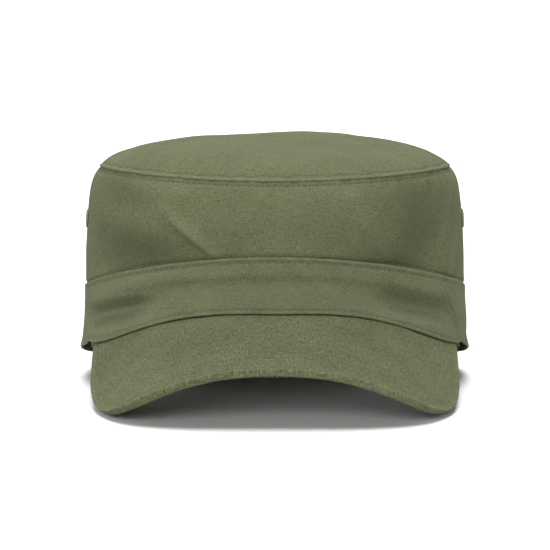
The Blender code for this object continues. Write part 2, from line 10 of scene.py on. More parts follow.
import bmesh
import bpy
import numpy as np
from mathutils import Matrix, Vector


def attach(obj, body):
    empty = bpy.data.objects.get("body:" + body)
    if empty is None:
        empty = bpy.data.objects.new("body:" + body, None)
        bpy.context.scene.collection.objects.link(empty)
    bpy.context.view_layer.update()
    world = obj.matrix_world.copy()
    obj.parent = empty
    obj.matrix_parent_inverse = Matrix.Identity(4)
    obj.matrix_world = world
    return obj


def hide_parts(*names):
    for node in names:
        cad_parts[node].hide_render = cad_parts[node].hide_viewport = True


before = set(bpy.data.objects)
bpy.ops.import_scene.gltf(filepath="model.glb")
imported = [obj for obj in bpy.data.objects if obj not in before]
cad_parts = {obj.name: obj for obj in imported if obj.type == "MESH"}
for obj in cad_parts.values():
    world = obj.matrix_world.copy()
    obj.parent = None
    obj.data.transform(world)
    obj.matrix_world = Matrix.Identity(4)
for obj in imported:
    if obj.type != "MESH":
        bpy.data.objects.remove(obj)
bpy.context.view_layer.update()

MM = 0.001
GAP = 0.3 * MM
CLOTH_UV = "cloth"

# The frame's driving sizes, as the parts were made.
HALF_WIDTH = 90.8 * MM
HALF_LENGTH = 101.0 * MM
FRONT_EDGE_RISE = 43.0 * MM
EDGE_POWER = 1.6
REST_CLIP = 0.8 * MM
BAND_TOP = (46.9 * MM, 18.3 * MM, 3.1 * MM, 0.3 * MM)
SEAM = (98.2 * MM, 5.1 * MM, -1.9 * MM)
DOME_CENTRE = 97.5 * MM
DOME_RISE = 17.0 * MM
DOME_ROUND = 0.6
DOME_EDGE_POWER = 8
BAND_LEAN = 1.0 * MM
CROWN_STEP = 0.4 * MM
CROWN_LEAN = 3.4 * MM
SHOULDER = 4.2 * MM
SHOULDER_POWER = 14
CLOTH = 1.0 * MM
BAND_CLOTH = 1.2 * MM
SIDE_SEAM = radians(112)
SEAM_SLIT = radians(0.1)
TAPE = 0.6 * MM
SWEAT_FRONT = 3.5 * MM
SWEAT_BACK = 4.9 * MM
SWEAT_FOOT = 0.6 * MM
SWEAT_HEIGHT = 32.0 * MM
SWEAT_END = radians(150)
VISOR_ROOT = 42.6 * MM
VISOR_SLOPE = 0.261
VISOR_ARCH = 36.0 * MM
ARCH_REACH = 80.0 * MM
ARCH_POWER = 2.65
ARCH_GROWTH = 1.17
VISOR_HALF_WIDTH = 84.9 * MM
VISOR_LENGTH = 132.6 * MM
VISOR_BACK = -29.8 * MM
VISOR_SQUARENESS = 3.7
VISOR_INNER = 3.1 * MM
VISOR_END = radians(87)
VISOR_COVER = 0.8 * MM
VISOR_BOARD = 1.4 * MM
VISOR_ROLL = 1.3 * MM
VISOR_ANGLE = radians(74.5)
VISOR_DEPTH = 2 * VISOR_COVER + VISOR_BOARD + 2 * GAP
ARCH_HALF_WIDTH = 40.0 * MM
ARCH_LEG = 18.0 * MM
ARCH_RISE = 34.0 * MM
STRAP_CIRCLE = 84.0 * MM
STRAP_BOTTOM = 4.0 * MM
STRAP_WIDTH = 20.0 * MM
STRAP_DEPTH = 2.8 * MM
STRAP_CLOTH = 1.3 * MM
STRAP_FROM = radians(-44)
STRAP_TO = radians(36)
BUCKLE_ANGLE = radians(18.5)
BAR_AT = (7.6 * MM, 0.8 * MM)
BAR_RADIUS = 0.8 * MM
TAB_CLOTH = 0.6 * MM
TAB_DEPTH = 1.7 * MM
TAB_TO = radians(41)
EYELET_ANGLES = (radians(84), radians(99))
EYELET_HEIGHT = 76.5 * MM
EYELET_HOLE = 3.0 * MM
EYELET_FLANGE = 4.5 * MM
OVAL_SHIFT = (VISOR_LENGTH - VISOR_BACK - HALF_LENGTH) / 2
INTERLINING = 0.8 * MM
LABEL_CLOTH = 0.5 * MM
BAR_TACK_OUT = 42.8 * MM
OPENING_INSET = 0.6 * MM

# The wall's three panels, as the angles between their seams.
SPANS = {
    "front": (-SIDE_SEAM + SEAM_SLIT, SIDE_SEAM - SEAM_SLIT),
    "rear_left": (SIDE_SEAM + SEAM_SLIT, pi - SEAM_SLIT),
    "rear_right": (-pi + SEAM_SLIT, -SIDE_SEAM - SEAM_SLIT),
}

# Sewing.
STITCH_PITCH = 3.1 * MM
STITCH_GAP = 0.7 * MM
THREAD = 0.42 * MM
SEAM_STITCH_DROP = 1.2 * MM
BAND_STITCH_DROP = 2.2 * MM
BAND_STITCH_RISE = 1.9 * MM
SEAM_STITCH_BESIDE = 2.4 * MM
VISOR_ROWS = tuple((3.2 + 5.6 * k) * MM for k in range(9))
VISOR_RIM_ROW = 1.9 * MM

# How far the visor's layers end inside its outline: the cover's top, its turned-under edge, the rest.
COVER_TRIM = 0.9 * MM
TURNED_TRIM = 2.3 * MM
LAYER_TRIM = 2.6 * MM

# The worn crown's soft spots: how far out in mm, then where and how big, as dent() takes them.
CROWN_DENTS = (
    (-2.8, -50, 58, 19, 8.5, 0.1), (2.2, -50, 80, 20, 9), (-1.8, -51, 87, 9, 7), (-4.6, 53, 68, 15, 17),
    (-2.0, 40, 60, 13, 6, -0.25), (1.6, 26, 82, 12, 18), (-2.4, 128, 62, 12, 10), (-2.2, -131, 60, 11, 9),
    (-1.6, 165, 76, 8, 8), (-1.4, -120, 82, 9, 8),
)
# Soft ridges: how far out in mm, then two ends and a half width, as crease() takes them.
CROWN_CREASES = (
    (1.6, (-34, 87), (-17.5, 68.5), 3.0), (0.7, (-31, 83), (-18.5, 68.5), 1.2), (1.0, (24, 92), (30, 70), 5),
    (0.7, (66, 86), (64, 58), 3), (1.4, (150, 84), (139, 50), 3), (1.2, (-146, 82), (-160, 62), 3),
)
BAND_CREASES = (
    (0.9, (57.5, 49), (72, 22), 0.9), (0.7, (61.5, 47), (71.5, 25), 0.8), (-0.6, (59.7, 47), (71, 25), 1.0),
    (0.4, (-66, 44), (-73, 24), 1.2),
)
# Short gathers of the top panel at the front of its seam: degrees and height in mm.
GATHERS = ((-19, 0.3), (-12, 0.4), (-4, 0.25), (5, 0.45), (11, 0.3), (21, 0.4), (34, 0.3))

# Linear colours.
OLIVE = (0.106, 0.112, 0.061)
OLIVE_THREAD = (0.135, 0.14, 0.085)
OLIVE_TAPE = (0.074, 0.08, 0.042)
TWILL = (0.088, 0.093, 0.052)
BUCKRAM = (0.62, 0.6, 0.52)
BOARD = (0.7, 0.7, 0.67)
LABEL = (0.74, 0.72, 0.66)
GUNMETAL = (0.1, 0.095, 0.085)
BARE_BRASS = (0.45, 0.38, 0.27)
# Pale olive for worn cloth, and for painted light on cloth that faces up.
FADED_AND_LIT = (0.2, 0.21, 0.135)


# ---------------------------------------------------------------- the frame's surfaces


def smooth_step(value, start, end):
    share = np.clip((value - start) / (end - start), 0, 1)
    return share * share * (3 - 2 * share)


def joined(*parts):
    """Coordinates put together as points, along a new last axis."""
    return np.stack(np.broadcast_arrays(*parts), -1)


def unit(vectors):
    return vectors / np.linalg.norm(vectors, axis=-1, keepdims=True)


def run_length(line):
    """How far along a line each of its points is."""
    return np.concatenate([[0], np.cumsum(np.linalg.norm(np.diff(line, axis=0), axis=1))])


def left_of(line):
    """Unit normals of a line in plan, a quarter turn left of its way."""
    tangent = unit(np.gradient(line, axis=0))
    return joined(-tangent[:, 1], tangent[:, 0])


def outward(angle):
    return joined(np.sin(angle), -np.cos(angle), 0)


def bell(value, middle, wide, power=2):
    """1 at the middle, falling smoothly to 0 on both sides."""
    return np.exp(-((np.abs(value - middle) / wide) ** power))


def wave(series, angle):
    return sum(size * np.cos(k * angle) for k, size in enumerate(series))


def band_top(angle):
    return wave(BAND_TOP, angle)


def seam_height(angle):
    return wave(SEAM, angle)


def oval(angle, inset):
    return (HALF_WIDTH - inset) * np.sin(angle), OVAL_SHIFT - (HALF_LENGTH - inset) * np.cos(angle)


def upright(angle):
    """1 where the band leans in, falling to 0 at the back, where it stands straight."""
    return 1 - smooth_step(np.abs(angle), radians(110), radians(135))


def visor_top(x, y):
    forward = OVAL_SHIFT - HALF_LENGTH - y
    arch = VISOR_ARCH * (np.abs(x) / ARCH_REACH) ** ARCH_POWER
    return VISOR_ROOT - VISOR_SLOPE * forward - arch * (1 + ARCH_GROWTH * forward)


def visor_normal(x, y):
    step = 0.1 * MM
    dx = (visor_top(x + step, y) - visor_top(x - step, y)) / (2 * step)
    dy = (visor_top(x, y + step) - visor_top(x, y - step)) / (2 * step)
    return unit(joined(-dx, -dy, 1))


def on_visor(x, y):
    return joined(x, y, visor_top(x, y))


def rear_edge(angle):
    return np.maximum(0, FRONT_EDGE_RISE * ((1 + np.cos(angle)) / 2) ** EDGE_POWER - REST_CLIP)


def lower_edge(angle):
    """The band's lower edge: on the visor as far as the visor's ends, then down behind them."""
    x, y = oval(angle, 0)
    front = visor_top(x, y) + GAP / visor_normal(x, y)[..., 2]
    return np.where(np.abs(angle) > VISOR_ANGLE, rear_edge(angle), front)


def opening_edge(angle, inset):
    """Height of the back opening's edge at an angle of the wall, and 0 beside the opening."""
    x, y = oval(angle, inset)
    inside = np.clip(1 - (x / ARCH_HALF_WIDTH) ** 2, 0, 1)
    over = (np.abs(x) < ARCH_HALF_WIDTH) & (y > OVAL_SHIFT)
    return np.where(over, ARCH_LEG + ARCH_RISE * np.sqrt(inside), 0)


# ---------------------------------------------------------------- relief of the worn cloth


def ripple(u, v, size, seed, waves=14):
    """Smooth seeded noise of about one unit, with features of about the given size."""
    dice = np.random.default_rng(seed)
    total = 0
    for _ in range(waves):
        way, phase = dice.uniform(0, 2 * pi, 2)
        number = 2 * pi / (size * dice.uniform(0.7, 1.9))
        total = total + np.sin(number * (u * cos(way) + v * sin(way)) + phase)
    return total / np.sqrt(waves / 2)


def along(angle):
    """Rough distance round the wall, for relief and weave."""
    return angle * (HALF_WIDTH + HALF_LENGTH) / 2


def dent(angle, height, at, level, wide, tall, lean=0.0):
    """A soft spot: middle and width in degrees, level and height in mm, lean in mm a degree."""
    across = np.degrees(angle) - at
    return bell(across, 0, wide) * bell(height / MM - lean * across, level, tall)


def crease(angle, height, start, end, wide):
    """A soft line from (degrees, mm) to (degrees, mm), with its half width in mm."""
    scale = radians(1) * (HALF_WIDTH + HALF_LENGTH) / 2 / MM
    dx, dy = (end[0] - start[0]) * scale, end[1] - start[1]
    px, py = (np.degrees(angle) - start[0]) * scale, height / MM - start[1]
    held = np.clip((px * dx + py * dy) / (dx**2 + dy**2), 0, 1)
    away = np.hypot(px - held * dx, py - held * dy)
    return bell(away, 0, wide) * (1 - 0.5 * np.abs(2 * held - 1))


def tuck(level, start, steep, easy):
    """A fold down the wall: it drops in over the steep part, then comes out over the easy part."""
    inward = smooth_step(level, start, start + steep)
    return -inward * (1 - smooth_step(level, start + steep, start + steep + easy))


def near_eyelet(angle, height):
    spots = [along(angle - side * spot) for side in (-1, 1) for spot in EYELET_ANGLES]
    return sum(bell(np.hypot(spot, height - EYELET_HEIGHT), 0, 7 * MM, 4) for spot in spots)


def crown_relief(angle, height):
    """How far the crown's wall stands out from its plain shape."""
    u = along(angle)
    at = np.degrees(angle)
    under_seam = seam_height(angle) - height
    over_band = height - band_top(angle)
    calm = np.where(np.abs(at) > 100, 1, 1 - 0.75 * smooth_step(np.abs(at), 70, 84))
    soft = (0.45 * ripple(u, height * 0.7, 62 * MM, 3) + 0.16 * ripple(u, height, 24 * MM, 5)) * calm
    folds = sum(size * dent(angle, height, *spot) for size, *spot in CROWN_DENTS)
    folds += sum(size * crease(angle, height, *line) for size, *line in CROWN_CREASES)
    # A pocket under the slanting fold, which ends sharply along that fold.
    past_fold = smooth_step(at + (height / MM - 68.5) * 0.86, -21, -17)
    folds += -2.0 * dent(angle, height, -38, 66, 15, 7.5, 0.1) * (1 - past_fold)
    loose = (1 - near_eyelet(angle, height)) * (0.12 + 0.88 * smooth_step(under_seam, 0, 8 * MM))
    pucker = ripple(u, 0 * u, 8 * MM, 11) * np.exp(-under_seam / (3.5 * MM))
    pucker = pucker + 0.7 * ripple(u, 0 * u, 10 * MM, 12) * np.exp(-np.abs(over_band) / (4 * MM))
    sewn = -0.22 * bell(under_seam, SEAM_STITCH_DROP, 0.42 * MM)
    return MM * ((soft + folds) * loose + 0.2 * pucker + sewn)


def band_relief(angle, height):
    """How far the headband stands out from its plain shape."""
    u = along(angle)
    at = np.degrees(angle)
    under_top = band_top(angle) - height
    over_edge = height - lower_edge(angle)
    level = under_top / MM
    folds = 0.6 * (1 - smooth_step(np.abs(at), 38, 60)) * tuck(level, 7.4, 4.0, 9)
    folds += 5.2 * bell(at, -57, 17, 4) * tuck(level - 0.03 * (at + 54), 11.0, 5.6, 10)
    folds += 4.4 * bell(at, 47, 15, 4) * tuck(level, 8.6, 8.5, 8)
    folds += 0.8 * bell(at, -52, 16) * bell(level, 8.5, 4)
    folds += 0.5 * bell(at, -32, 12) * bell(level - 0.12 * (at + 32), 6.0, 2.6)
    folds += sum(size * crease(angle, height, *line) for size, *line in BAND_CREASES)
    folds -= 0.9 * bell(np.abs(at), 122, 14) * bell(level, 15, 6)
    gathered = bell(np.abs(at), 79, 5.5) * bell(over_edge, 0, 6 * MM)
    folds += 0.42 * np.sin(2 * pi * u / (3.3 * MM)) * gathered
    soft = 0.1 * ripple(u, height, 16 * MM, 21) + 0.25 * ripple(u, height, 50 * MM, 22)
    pucker = ripple(u, 0 * u, 7 * MM, 23) * bell(under_top, BAND_STITCH_DROP, 2.5 * MM)
    pucker = pucker + ripple(u, 0 * u, 8 * MM, 24) * np.exp(-over_edge / (3 * MM))
    edge = 0.16 * (1 - smooth_step(under_top, 0.8 * MM, 2.0 * MM))
    edge = edge - 0.2 * bell(under_top, BAND_STITCH_DROP, 0.45 * MM)
    hem = 0.75 * bell(over_edge, 0, 4.2 * MM) - 0.25 * bell(over_edge, BAND_STITCH_RISE, 0.5 * MM)
    return MM * (folds + soft + 0.14 * pucker + edge + hem)


def crown_inset(angle, height):
    """Inset of the crown's outer face: inside the band at its foot, then up over the shoulder."""
    rise = height - band_top(angle)
    share = np.clip(rise / (seam_height(angle) - band_top(angle)), 0, 1)
    lean = BAND_LEAN * upright(angle)
    wall = lean + CROWN_STEP + CROWN_LEAN * share**2 + SHOULDER * share**SHOULDER_POWER
    tucked = lean + BAND_CLOTH + GAP
    relief = crown_relief(angle, height) * smooth_step(rise, -2 * MM, 1.5 * MM)
    return tucked + (wall - tucked) * smooth_step(rise, -0.6 * MM, 2.4 * MM) - relief


def band_inset(angle, height):
    low = lower_edge(angle)
    share = np.clip((height - low) / (band_top(angle) - low), 0, 1)
    return BAND_LEAN * share * upright(angle) - band_relief(angle, height)


def sweat_inset(angle, height):
    """Inset of the sweatband's outer face, which gives way where folds push in behind it."""
    share = np.clip((height - rear_edge(angle)) / SWEAT_HEIGHT, 0, 1)
    deep = smooth_step(np.abs(angle), radians(95), radians(130))
    plain = SWEAT_FRONT + (SWEAT_BACK - SWEAT_FRONT) * deep + BAND_LEAN * share * upright(angle)
    over = smooth_step(height - band_top(angle), -6 * MM, -1 * MM)
    pushed = np.maximum(-band_relief(angle, height) - 1.4 * MM, -over * crown_relief(angle, height))
    return plain + np.maximum(0, pushed) + 0.12 * MM * ripple(along(angle), height, 22 * MM, 31)


def deeper(inset_of, depth):
    """The same surface, further in by a depth."""
    return lambda angle, height: inset_of(angle, height) + depth


def wall_points(angle, height, inset):
    return joined(*oval(angle, inset), height)


def wall_frame(inset_of, angle, height):
    """Points on a wall's outer face and their outward normals."""
    step = 0.3 * MM
    turn = step / HALF_WIDTH
    here = wall_points(angle, height, inset_of(angle, height))
    side = wall_points(angle + turn, height, inset_of(angle + turn, height)) - here
    up = wall_points(angle, height + step, inset_of(angle, height + step)) - here
    normal = unit(np.cross(side, up))
    return here, normal * np.sign((normal * outward(angle)).sum(-1, keepdims=True))


def dashes(angle):
    """One dark dip per stitch round the wall, for painted shade in the stitches; the band's pale folded edge
    follows it too.
    """
    return 0.55 + 0.45 * np.cos(2 * pi * along(angle) / STITCH_PITCH)


def facing_in(inset_of, angle, height):
    """Points on a wall's inner face and their inward normals."""
    points, normals = wall_frame(inset_of, angle, height)
    return points, -normals


def painted_slope_shading(relief, angle, height):
    """Painted shade and light: cloth that leans in under a fold is painted a little darker, and cloth that
    faces up is painted paler.
    """
    step = 1 * MM
    slope = (relief(angle, height + step) - relief(angle, height - step)) / (2 * step)
    return -0.55 * np.clip(slope, -0.3, 0.7)


# ---------------------------------------------------------------- meshes


def show(name, data):
    """A new object in the scene."""
    made = bpy.data.objects.new(name, data)
    bpy.context.scene.collection.objects.link(made)
    return made


def build(name, points, faces, finish, uv, wear_and_shading=0.0, replaces=(), body="cap"):
    """A smooth piece with its weave coordinates in metres and its wear with painted light and shade, both
    held per point.
    """
    points = np.reshape(points, (-1, 3))
    material, slot = finish
    mesh = bpy.data.meshes.new(name)
    mesh.from_pydata(points.tolist(), [], [list(map(int, face)) for face in faces])
    layer = mesh.uv_layers.new(name=CLOTH_UV)
    corners = np.zeros(len(mesh.loops), np.int64)
    mesh.loops.foreach_get("vertex_index", corners)
    layer.data.foreach_set("uv", np.reshape(uv, (-1, 2)).astype(np.float32)[corners].ravel())
    # One value per point: above 0 wear and painted light, below 0 painted shade.
    wear_and_lighting = mesh.attributes.new("wear_and_shading", "FLOAT", "POINT")
    wear_and_lighting.data.foreach_set("value", np.broadcast_to(np.ravel(wear_and_shading), len(points)).astype(np.float32))
    mesh.shade_smooth()
    made = show(name, mesh)
    mesh.materials.append(material)
    merged = bmesh.new()
    merged.from_mesh(mesh)
    bmesh.ops.remove_doubles(merged, verts=merged.verts, dist=1e-7)
    if merged.calc_volume(signed=True) < 0:
        bmesh.ops.reverse_faces(merged, faces=merged.faces)
    merged.to_mesh(mesh)
    merged.free()
    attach(made, body)
    for node in replaces:
        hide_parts(node)
    return made


def ring_faces(count, size, ring=True, loop=False):
    """Faces between successive rings of points, with the open ends closed."""
    faces = []
    steps = size if ring else size - 1
    for i in range(count if loop else count - 1):
        a, b = i * size, (i + 1) % count * size
        faces += [(a + j, a + (j + 1) % size, b + (j + 1) % size, b + j) for j in range(steps)]
    if not loop:
        faces.append(list(range(size))[::-1])
        faces.append(list(range((count - 1) * size, count * size)))
    return faces


def folded_ring(angle, low, high, thick, inset_of, rows):
    """Insets and heights of a sheet with rounded edges, outer face first, for each angle."""
    r = thick / 2
    a = angle[:, None]
    bottom, top = (low + r)[:, None], (high - r)[:, None]
    rising = bottom + (top - bottom) * rows[None]
    falling = top + (bottom - top) * np.linspace(0, 1, 22)[None]
    outer = inset_of(a, rising)
    inner = inset_of(a, falling) + thick
    turn = np.linspace(0, pi, 9)[None, 1:-1]
    over, under = outer[:, -1:] + r - r * np.cos(turn), outer[:, :1] + r + r * np.cos(turn)
    insets = np.concatenate([outer, over, inner, under], 1)
    return insets, np.concatenate([rising, top + r * np.sin(turn), falling, bottom - r * np.sin(turn)], 1)


def wall_piece(name, node, angle, edges, thick, inset_of, finish, rows, dense=(), loop=False, wear_and_shading_of=None):
    """A sheet of cloth standing round the wall between two heights given for each angle."""
    extra = [np.linspace(start, end, count) for start, end, count in dense]
    shares = np.unique(np.concatenate([np.linspace(0, 1, rows), *extra]))
    insets, heights = folded_ring(angle, *edges, thick, inset_of, shares)
    turns = np.broadcast_to(angle[:, None], insets.shape)
    points = wall_points(turns, heights, insets)
    uv = joined(along(turns), heights)
    wear_and_shading = wear_and_shading_of(turns, heights) if wear_and_shading_of else 0.0
    return build(name, points, ring_faces(*insets.shape, loop=loop), finish, uv, wear_and_shading, [node])


def stitch_mesh(runs, seed=1, pitch=STITCH_PITCH, gap=STITCH_GAP, thick=THREAD, proud=0.16 * MM):
    """Points, faces and weave coordinates of stitches along runs of (points, normals)."""
    dice = np.random.default_rng(seed)
    lift = np.array([-1.1, 0.35, 1.0, 1.0, 0.35, -1.1]) * proud
    girth = np.array([0.45, 0.85, 1.0, 1.0, 0.85, 0.45]) * thick / 2
    stations, sides = len(lift), 8
    spread = np.linspace(-1, 1, stations)
    around = np.linspace(0, 2 * pi, sides, endpoint=False)
    one = ring_faces(stations, sides)
    all_points, all_faces, all_uv, offset = [], [], [], 0
    for line, normals in runs:
        run = run_length(line)
        count = int(run[-1] // pitch)
        if count < 1:
            continue
        spare = (run[-1] - count * pitch) / 2
        middle = spare + (np.arange(count) + 0.5) * pitch + dice.normal(0, 0.08 * MM, count)
        half = (pitch - gap) / 2 * dice.uniform(0.93, 1.05, count)
        at = middle[:, None] + half[:, None] * spread[None]
        spine, up = [joined(*[np.interp(at, run, part) for part in of.T]) for of in (line, normals)]
        up = unit(up)
        way = unit(spine[:, -1] - spine[:, 0])[:, None]
        side = np.cross(np.broadcast_to(way, up.shape), up)
        skew = dice.normal(0, 0.05 * MM, count)[:, None, None] * spread[None, :, None]
        spine = spine + up * lift[None, :, None] + side * skew
        ring = side[:, :, None] * np.cos(around)[None, None, :, None]
        ring = ring + 0.8 * up[:, :, None] * np.sin(around)[None, None, :, None]
        all_points.append((spine[:, :, None] + ring * girth[None, :, None, None]).reshape(-1, 3))
        uv = joined(at[:, :, None], around[None, None] * thick / 2)
        all_uv.append(uv.reshape(-1, 2))
        for start in range(offset, offset + count * stations * sides, stations * sides):
            all_faces += [[start + i for i in face] for face in one]
        offset += count * stations * sides
    return np.concatenate(all_points), all_faces, np.concatenate(all_uv)


def sew(name, runs, finish, replaces=(), body="cap", **how):
    points, faces, uv = stitch_mesh(runs, **how)
    build(name, points, faces, finish, uv, replaces=replaces, body=body)


def sweep(name, node, line, normals, low, high, thick, body="cap", relief=None, rows=26):
    """An upright canvas ribbon along a line of (x, y), round at its edges, thick along the normals."""
    r = thick / 2
    rise = (high - low - thick) * np.linspace(0, 1, rows)
    turn = np.linspace(0, pi, 7)[1:-1]
    bulge, cap = r * np.cos(turn), r * np.sin(turn)
    z = np.concatenate([low + r + rise, high - r + cap, high - r - rise, low + r - cap])
    out = np.concatenate([0 * rise + r, bulge, 0 * rise - r, -bulge])
    at = run_length(line)
    stand = np.broadcast_to(out[None], (len(line), len(out))).copy()
    if relief:
        stand[:, :rows] += relief(at[:, None], z[None, :rows])
    xy = line[:, None] + normals[:, None] * stand[..., None]
    points = np.concatenate([xy, np.broadcast_to(z[None, :, None], (*stand.shape, 1))], -1)
    uv = joined(at[:, None], z[None])
    build(name, points, ring_faces(*stand.shape), CANVAS, uv, replaces=[node], body=body)


# ---------------------------------------------------------------- materials


def add(tree, kind, values=None, **settings):
    """A shader node with its settings, and its inputs as numbers or as links."""
    node = tree.nodes.new(kind)
    for name, value in settings.items():
        setattr(node, name, value)
    for socket, value in (values or {}).items():
        if isinstance(value, bpy.types.NodeSocket):
            tree.links.new(value, node.inputs[socket])
        else:
            node.inputs[socket].default_value = value
    return node


def start_material(name, roughness, metallic=0.0, sheen=0.0, specular=0.5):
    made = bpy.data.materials.new(name)
    made.use_nodes = True
    shader = made.node_tree.nodes["Principled BSDF"]
    shader.inputs["Roughness"].default_value = roughness
    shader.inputs["Metallic"].default_value = metallic
    shader.inputs["Specular IOR Level"].default_value = specular
    shader.inputs["Sheen Weight"].default_value = sheen
    shader.inputs["Sheen Roughness"].default_value = 0.55
    return made, made.node_tree, shader


def calc(tree, operation, first, second=0.0, clamp=False):
    return add(tree, "ShaderNodeMath", {0: first, 1: second}, operation=operation, use_clamp=clamp).outputs[0]


def stretched_noise(tree, vector, size, detail=2.0, roughness=0.6):
    """Noise whose features have about the given size in mm, or a size for each axis."""
    rate = tuple(1 / (mm * MM) for mm in (size if isinstance(size, tuple) else (size,) * 3))
    spread = add(tree, "ShaderNodeVectorMath", {0: vector, 1: rate}, operation="MULTIPLY").outputs[0]
    values = {"Vector": spread, "Scale": 1.0, "Detail": detail, "Roughness": roughness}
    return add(tree, "ShaderNodeTexNoise", values).outputs["Fac"]


def scaled(colour, factor):
    return tuple(min(1, part * factor) for part in colour)


def blend(tree, share, first, second):
    """A mix of two colours, each one a link or red, green and blue."""
    first, second = [c if isinstance(c, bpy.types.NodeSocket) else (*c, 1) for c in (first, second)]
    return add(tree, "ShaderNodeMix", {0: share, 6: first, 7: second}, data_type="RGBA").outputs[2]


def dress(tree, shader, colour, relief, strength, distance, rough=None):
    """Links the colour, the fine relief and, as (noise, low, high), the roughness."""
    tree.links.new(colour, shader.inputs["Base Color"])
    lumps = add(tree, "ShaderNodeBump", {"Strength": strength, "Distance": distance, "Height": relief})
    tree.links.new(lumps.outputs[0], shader.inputs["Normal"])
    if rough:
        spread = add(tree, "ShaderNodeMapRange", {0: rough[0], 3: rough[1], 4: rough[2]})
        tree.links.new(spread.outputs[0], shader.inputs["Roughness"])


def weighted(tree, terms):
    """0.5 plus each noise's distance from 0.5 times its weight."""
    total = 0.5
    for fac, weight in terms:
        total = calc(tree, "ADD", total, calc(tree, "MULTIPLY", calc(tree, "SUBTRACT", fac, 0.5), weight))
    return total


def yarns(tree, vector, pitch, style):
    """Height of the weave: crossed yarns, diagonal ribs or straight ribs."""
    count = pi / pitch
    rate = (2 * count, 0.7 * count, 0) if style == "ribs" else (count, count, 0)
    spread = add(tree, "ShaderNodeVectorMath", {0: vector, 1: rate}, operation="MULTIPLY")
    across, up = add(tree, "ShaderNodeSeparateXYZ", {0: spread.outputs[0]}).outputs[:2]
    if style == "twill":
        rib = calc(tree, "SINE", calc(tree, "ADD", across, up))
        cross = calc(tree, "SINE", calc(tree, "MULTIPLY", across, 2.0))
        return calc(tree, "ADD", rib, calc(tree, "MULTIPLY", cross, 0.35))
    if style == "ribs":
        return calc(tree, "SINE", calc(tree, "ADD", across, calc(tree, "SINE", up)))
    return calc(tree, "MULTIPLY", calc(tree, "SINE", across), calc(tree, "SINE", up))


def cloth_material(name, colour, pitch, style="plain", contrast=1.0, sheen=0.0, bump=0.8, wear_and_lighting=FADED_AND_LIT):
    """Woven cloth: uneven yarns and flecks, paler where the per-point value is above 0 (wear and painted
    light) and darker where it is below 0 (painted shade).
    """
    made, tree, shader = start_material(name, 0.95, sheen=sheen, specular=0.05)
    uv = add(tree, "ShaderNodeUVMap", uv_map=CLOTH_UV).outputs["UV"]
    body = add(tree, "ShaderNodeTexCoord").outputs["Object"]
    warp = stretched_noise(tree, uv, (0.5, 3.5, 1 / MM))
    weft = stretched_noise(tree, uv, (4.5, 0.5, 1 / MM))
    fleck = stretched_noise(tree, uv, 0.9, 3.0, 0.7)
    broad = stretched_noise(tree, body, 26, 3.0, 0.55)
    weave = yarns(tree, uv, pitch, style)
    uneven = weighted(tree, [(warp, 0.9), (weft, 1.0), (fleck, 1.9), (broad, 0.4)])
    shade = calc(tree, "ADD", uneven, calc(tree, "MULTIPLY", weave, 0.07))
    tone = blend(tree, shade, scaled(colour, 1 - 0.4 * contrast), scaled(colour, 1 + 0.4 * contrast))
    wear_and_shading = add(tree, "ShaderNodeAttribute", attribute_name="wear_and_shading").outputs["Fac"]
    # Above 0 the cloth blends to the pale colour, for wear and painted light; below 0 it is darkened, as
    # painted shade.
    patchy = calc(tree, "MULTIPLY", wear_and_shading, calc(tree, "ADD", fleck, 0.35))
    faded_and_lit = blend(tree, calc(tree, "MAXIMUM", patchy, 0.0, clamp=True), tone, wear_and_lighting)
    painted_shade = calc(tree, "MAXIMUM", calc(tree, "MULTIPLY", patchy, -1.0), 0.0, clamp=True)
    final = blend(tree, painted_shade, faded_and_lit, scaled(colour, 0.3))
    threads = weighted(tree, [(fleck, 1.6), (warp, 0.9), (weft, 0.9)])
    relief = calc(tree, "ADD", calc(tree, "MULTIPLY", weave, 0.5), threads)
    dress(tree, shader, final, relief, bump, 0.16 * MM, (fleck, 0.8, 0.97))
    return made


def thread_material(name, colour):
    """Twisted thread, with its plies slanting along each stitch."""
    made, tree, shader = start_material(name, 0.7, specular=0.2)
    uv = add(tree, "ShaderNodeUVMap", uv_map=CLOTH_UV).outputs["UV"]
    along_it, round_it = add(tree, "ShaderNodeSeparateXYZ", {0: uv}).outputs[:2]
    twist = calc(tree, "MULTIPLY", calc(tree, "ADD", along_it, round_it), 2 * pi / (0.34 * MM))
    ply = calc(tree, "SINE", twist)
    fuzz = weighted(tree, [(stretched_noise(tree, uv, 0.6), 0.8)])
    shade = calc(tree, "ADD", calc(tree, "MULTIPLY", ply, 0.22), fuzz)
    tone = blend(tree, shade, scaled(colour, 0.72), scaled(colour, 1.3))
    dress(tree, shader, tone, ply, 0.6, 0.08 * MM)
    return made


def metal_material():
    """Blackened brass: uneven in tone, rubbed bright on its edges, with fine scratches."""
    made, tree, shader = start_material("gunmetal", 0.38, metallic=1.0)
    at = add(tree, "ShaderNodeTexCoord").outputs["Object"]
    grain = stretched_noise(tree, at, 0.7, 4.0, 0.65)
    cloud = stretched_noise(tree, at, 6)
    scratch = stretched_noise(tree, at, (0.12, 0.12, 3))
    sharp = add(tree, "ShaderNodeNewGeometry").outputs["Pointiness"]
    edge = add(tree, "ShaderNodeMapRange", {0: sharp, 1: 0.5, 2: 0.62}).outputs[0]
    rubbed = calc(tree, "MULTIPLY", edge, calc(tree, "ADD", grain, 0.2), clamp=True)
    uneven = weighted(tree, [(grain, 0.9), (cloud, 0.9)])
    tone = blend(tree, uneven, scaled(GUNMETAL, 0.7), scaled(GUNMETAL, 1.5))
    relief = weighted(tree, [(scratch, 1.0), (grain, 0.7)])
    dress(tree, shader, blend(tree, rubbed, tone, BARE_BRASS), relief, 0.25, 0.03 * MM, (grain, 0.26, 0.56))
    return made


def board_material():
    made, tree, shader = start_material("visor_board", 0.7)
    at = add(tree, "ShaderNodeTexCoord").outputs["Object"]
    pulp = stretched_noise(tree, at, (1.4, 0.5, 1.4), 4.0)
    dress(tree, shader, blend(tree, pulp, scaled(BOARD, 0.82), BOARD), pulp, 0.3, 0.05 * MM)
    return made


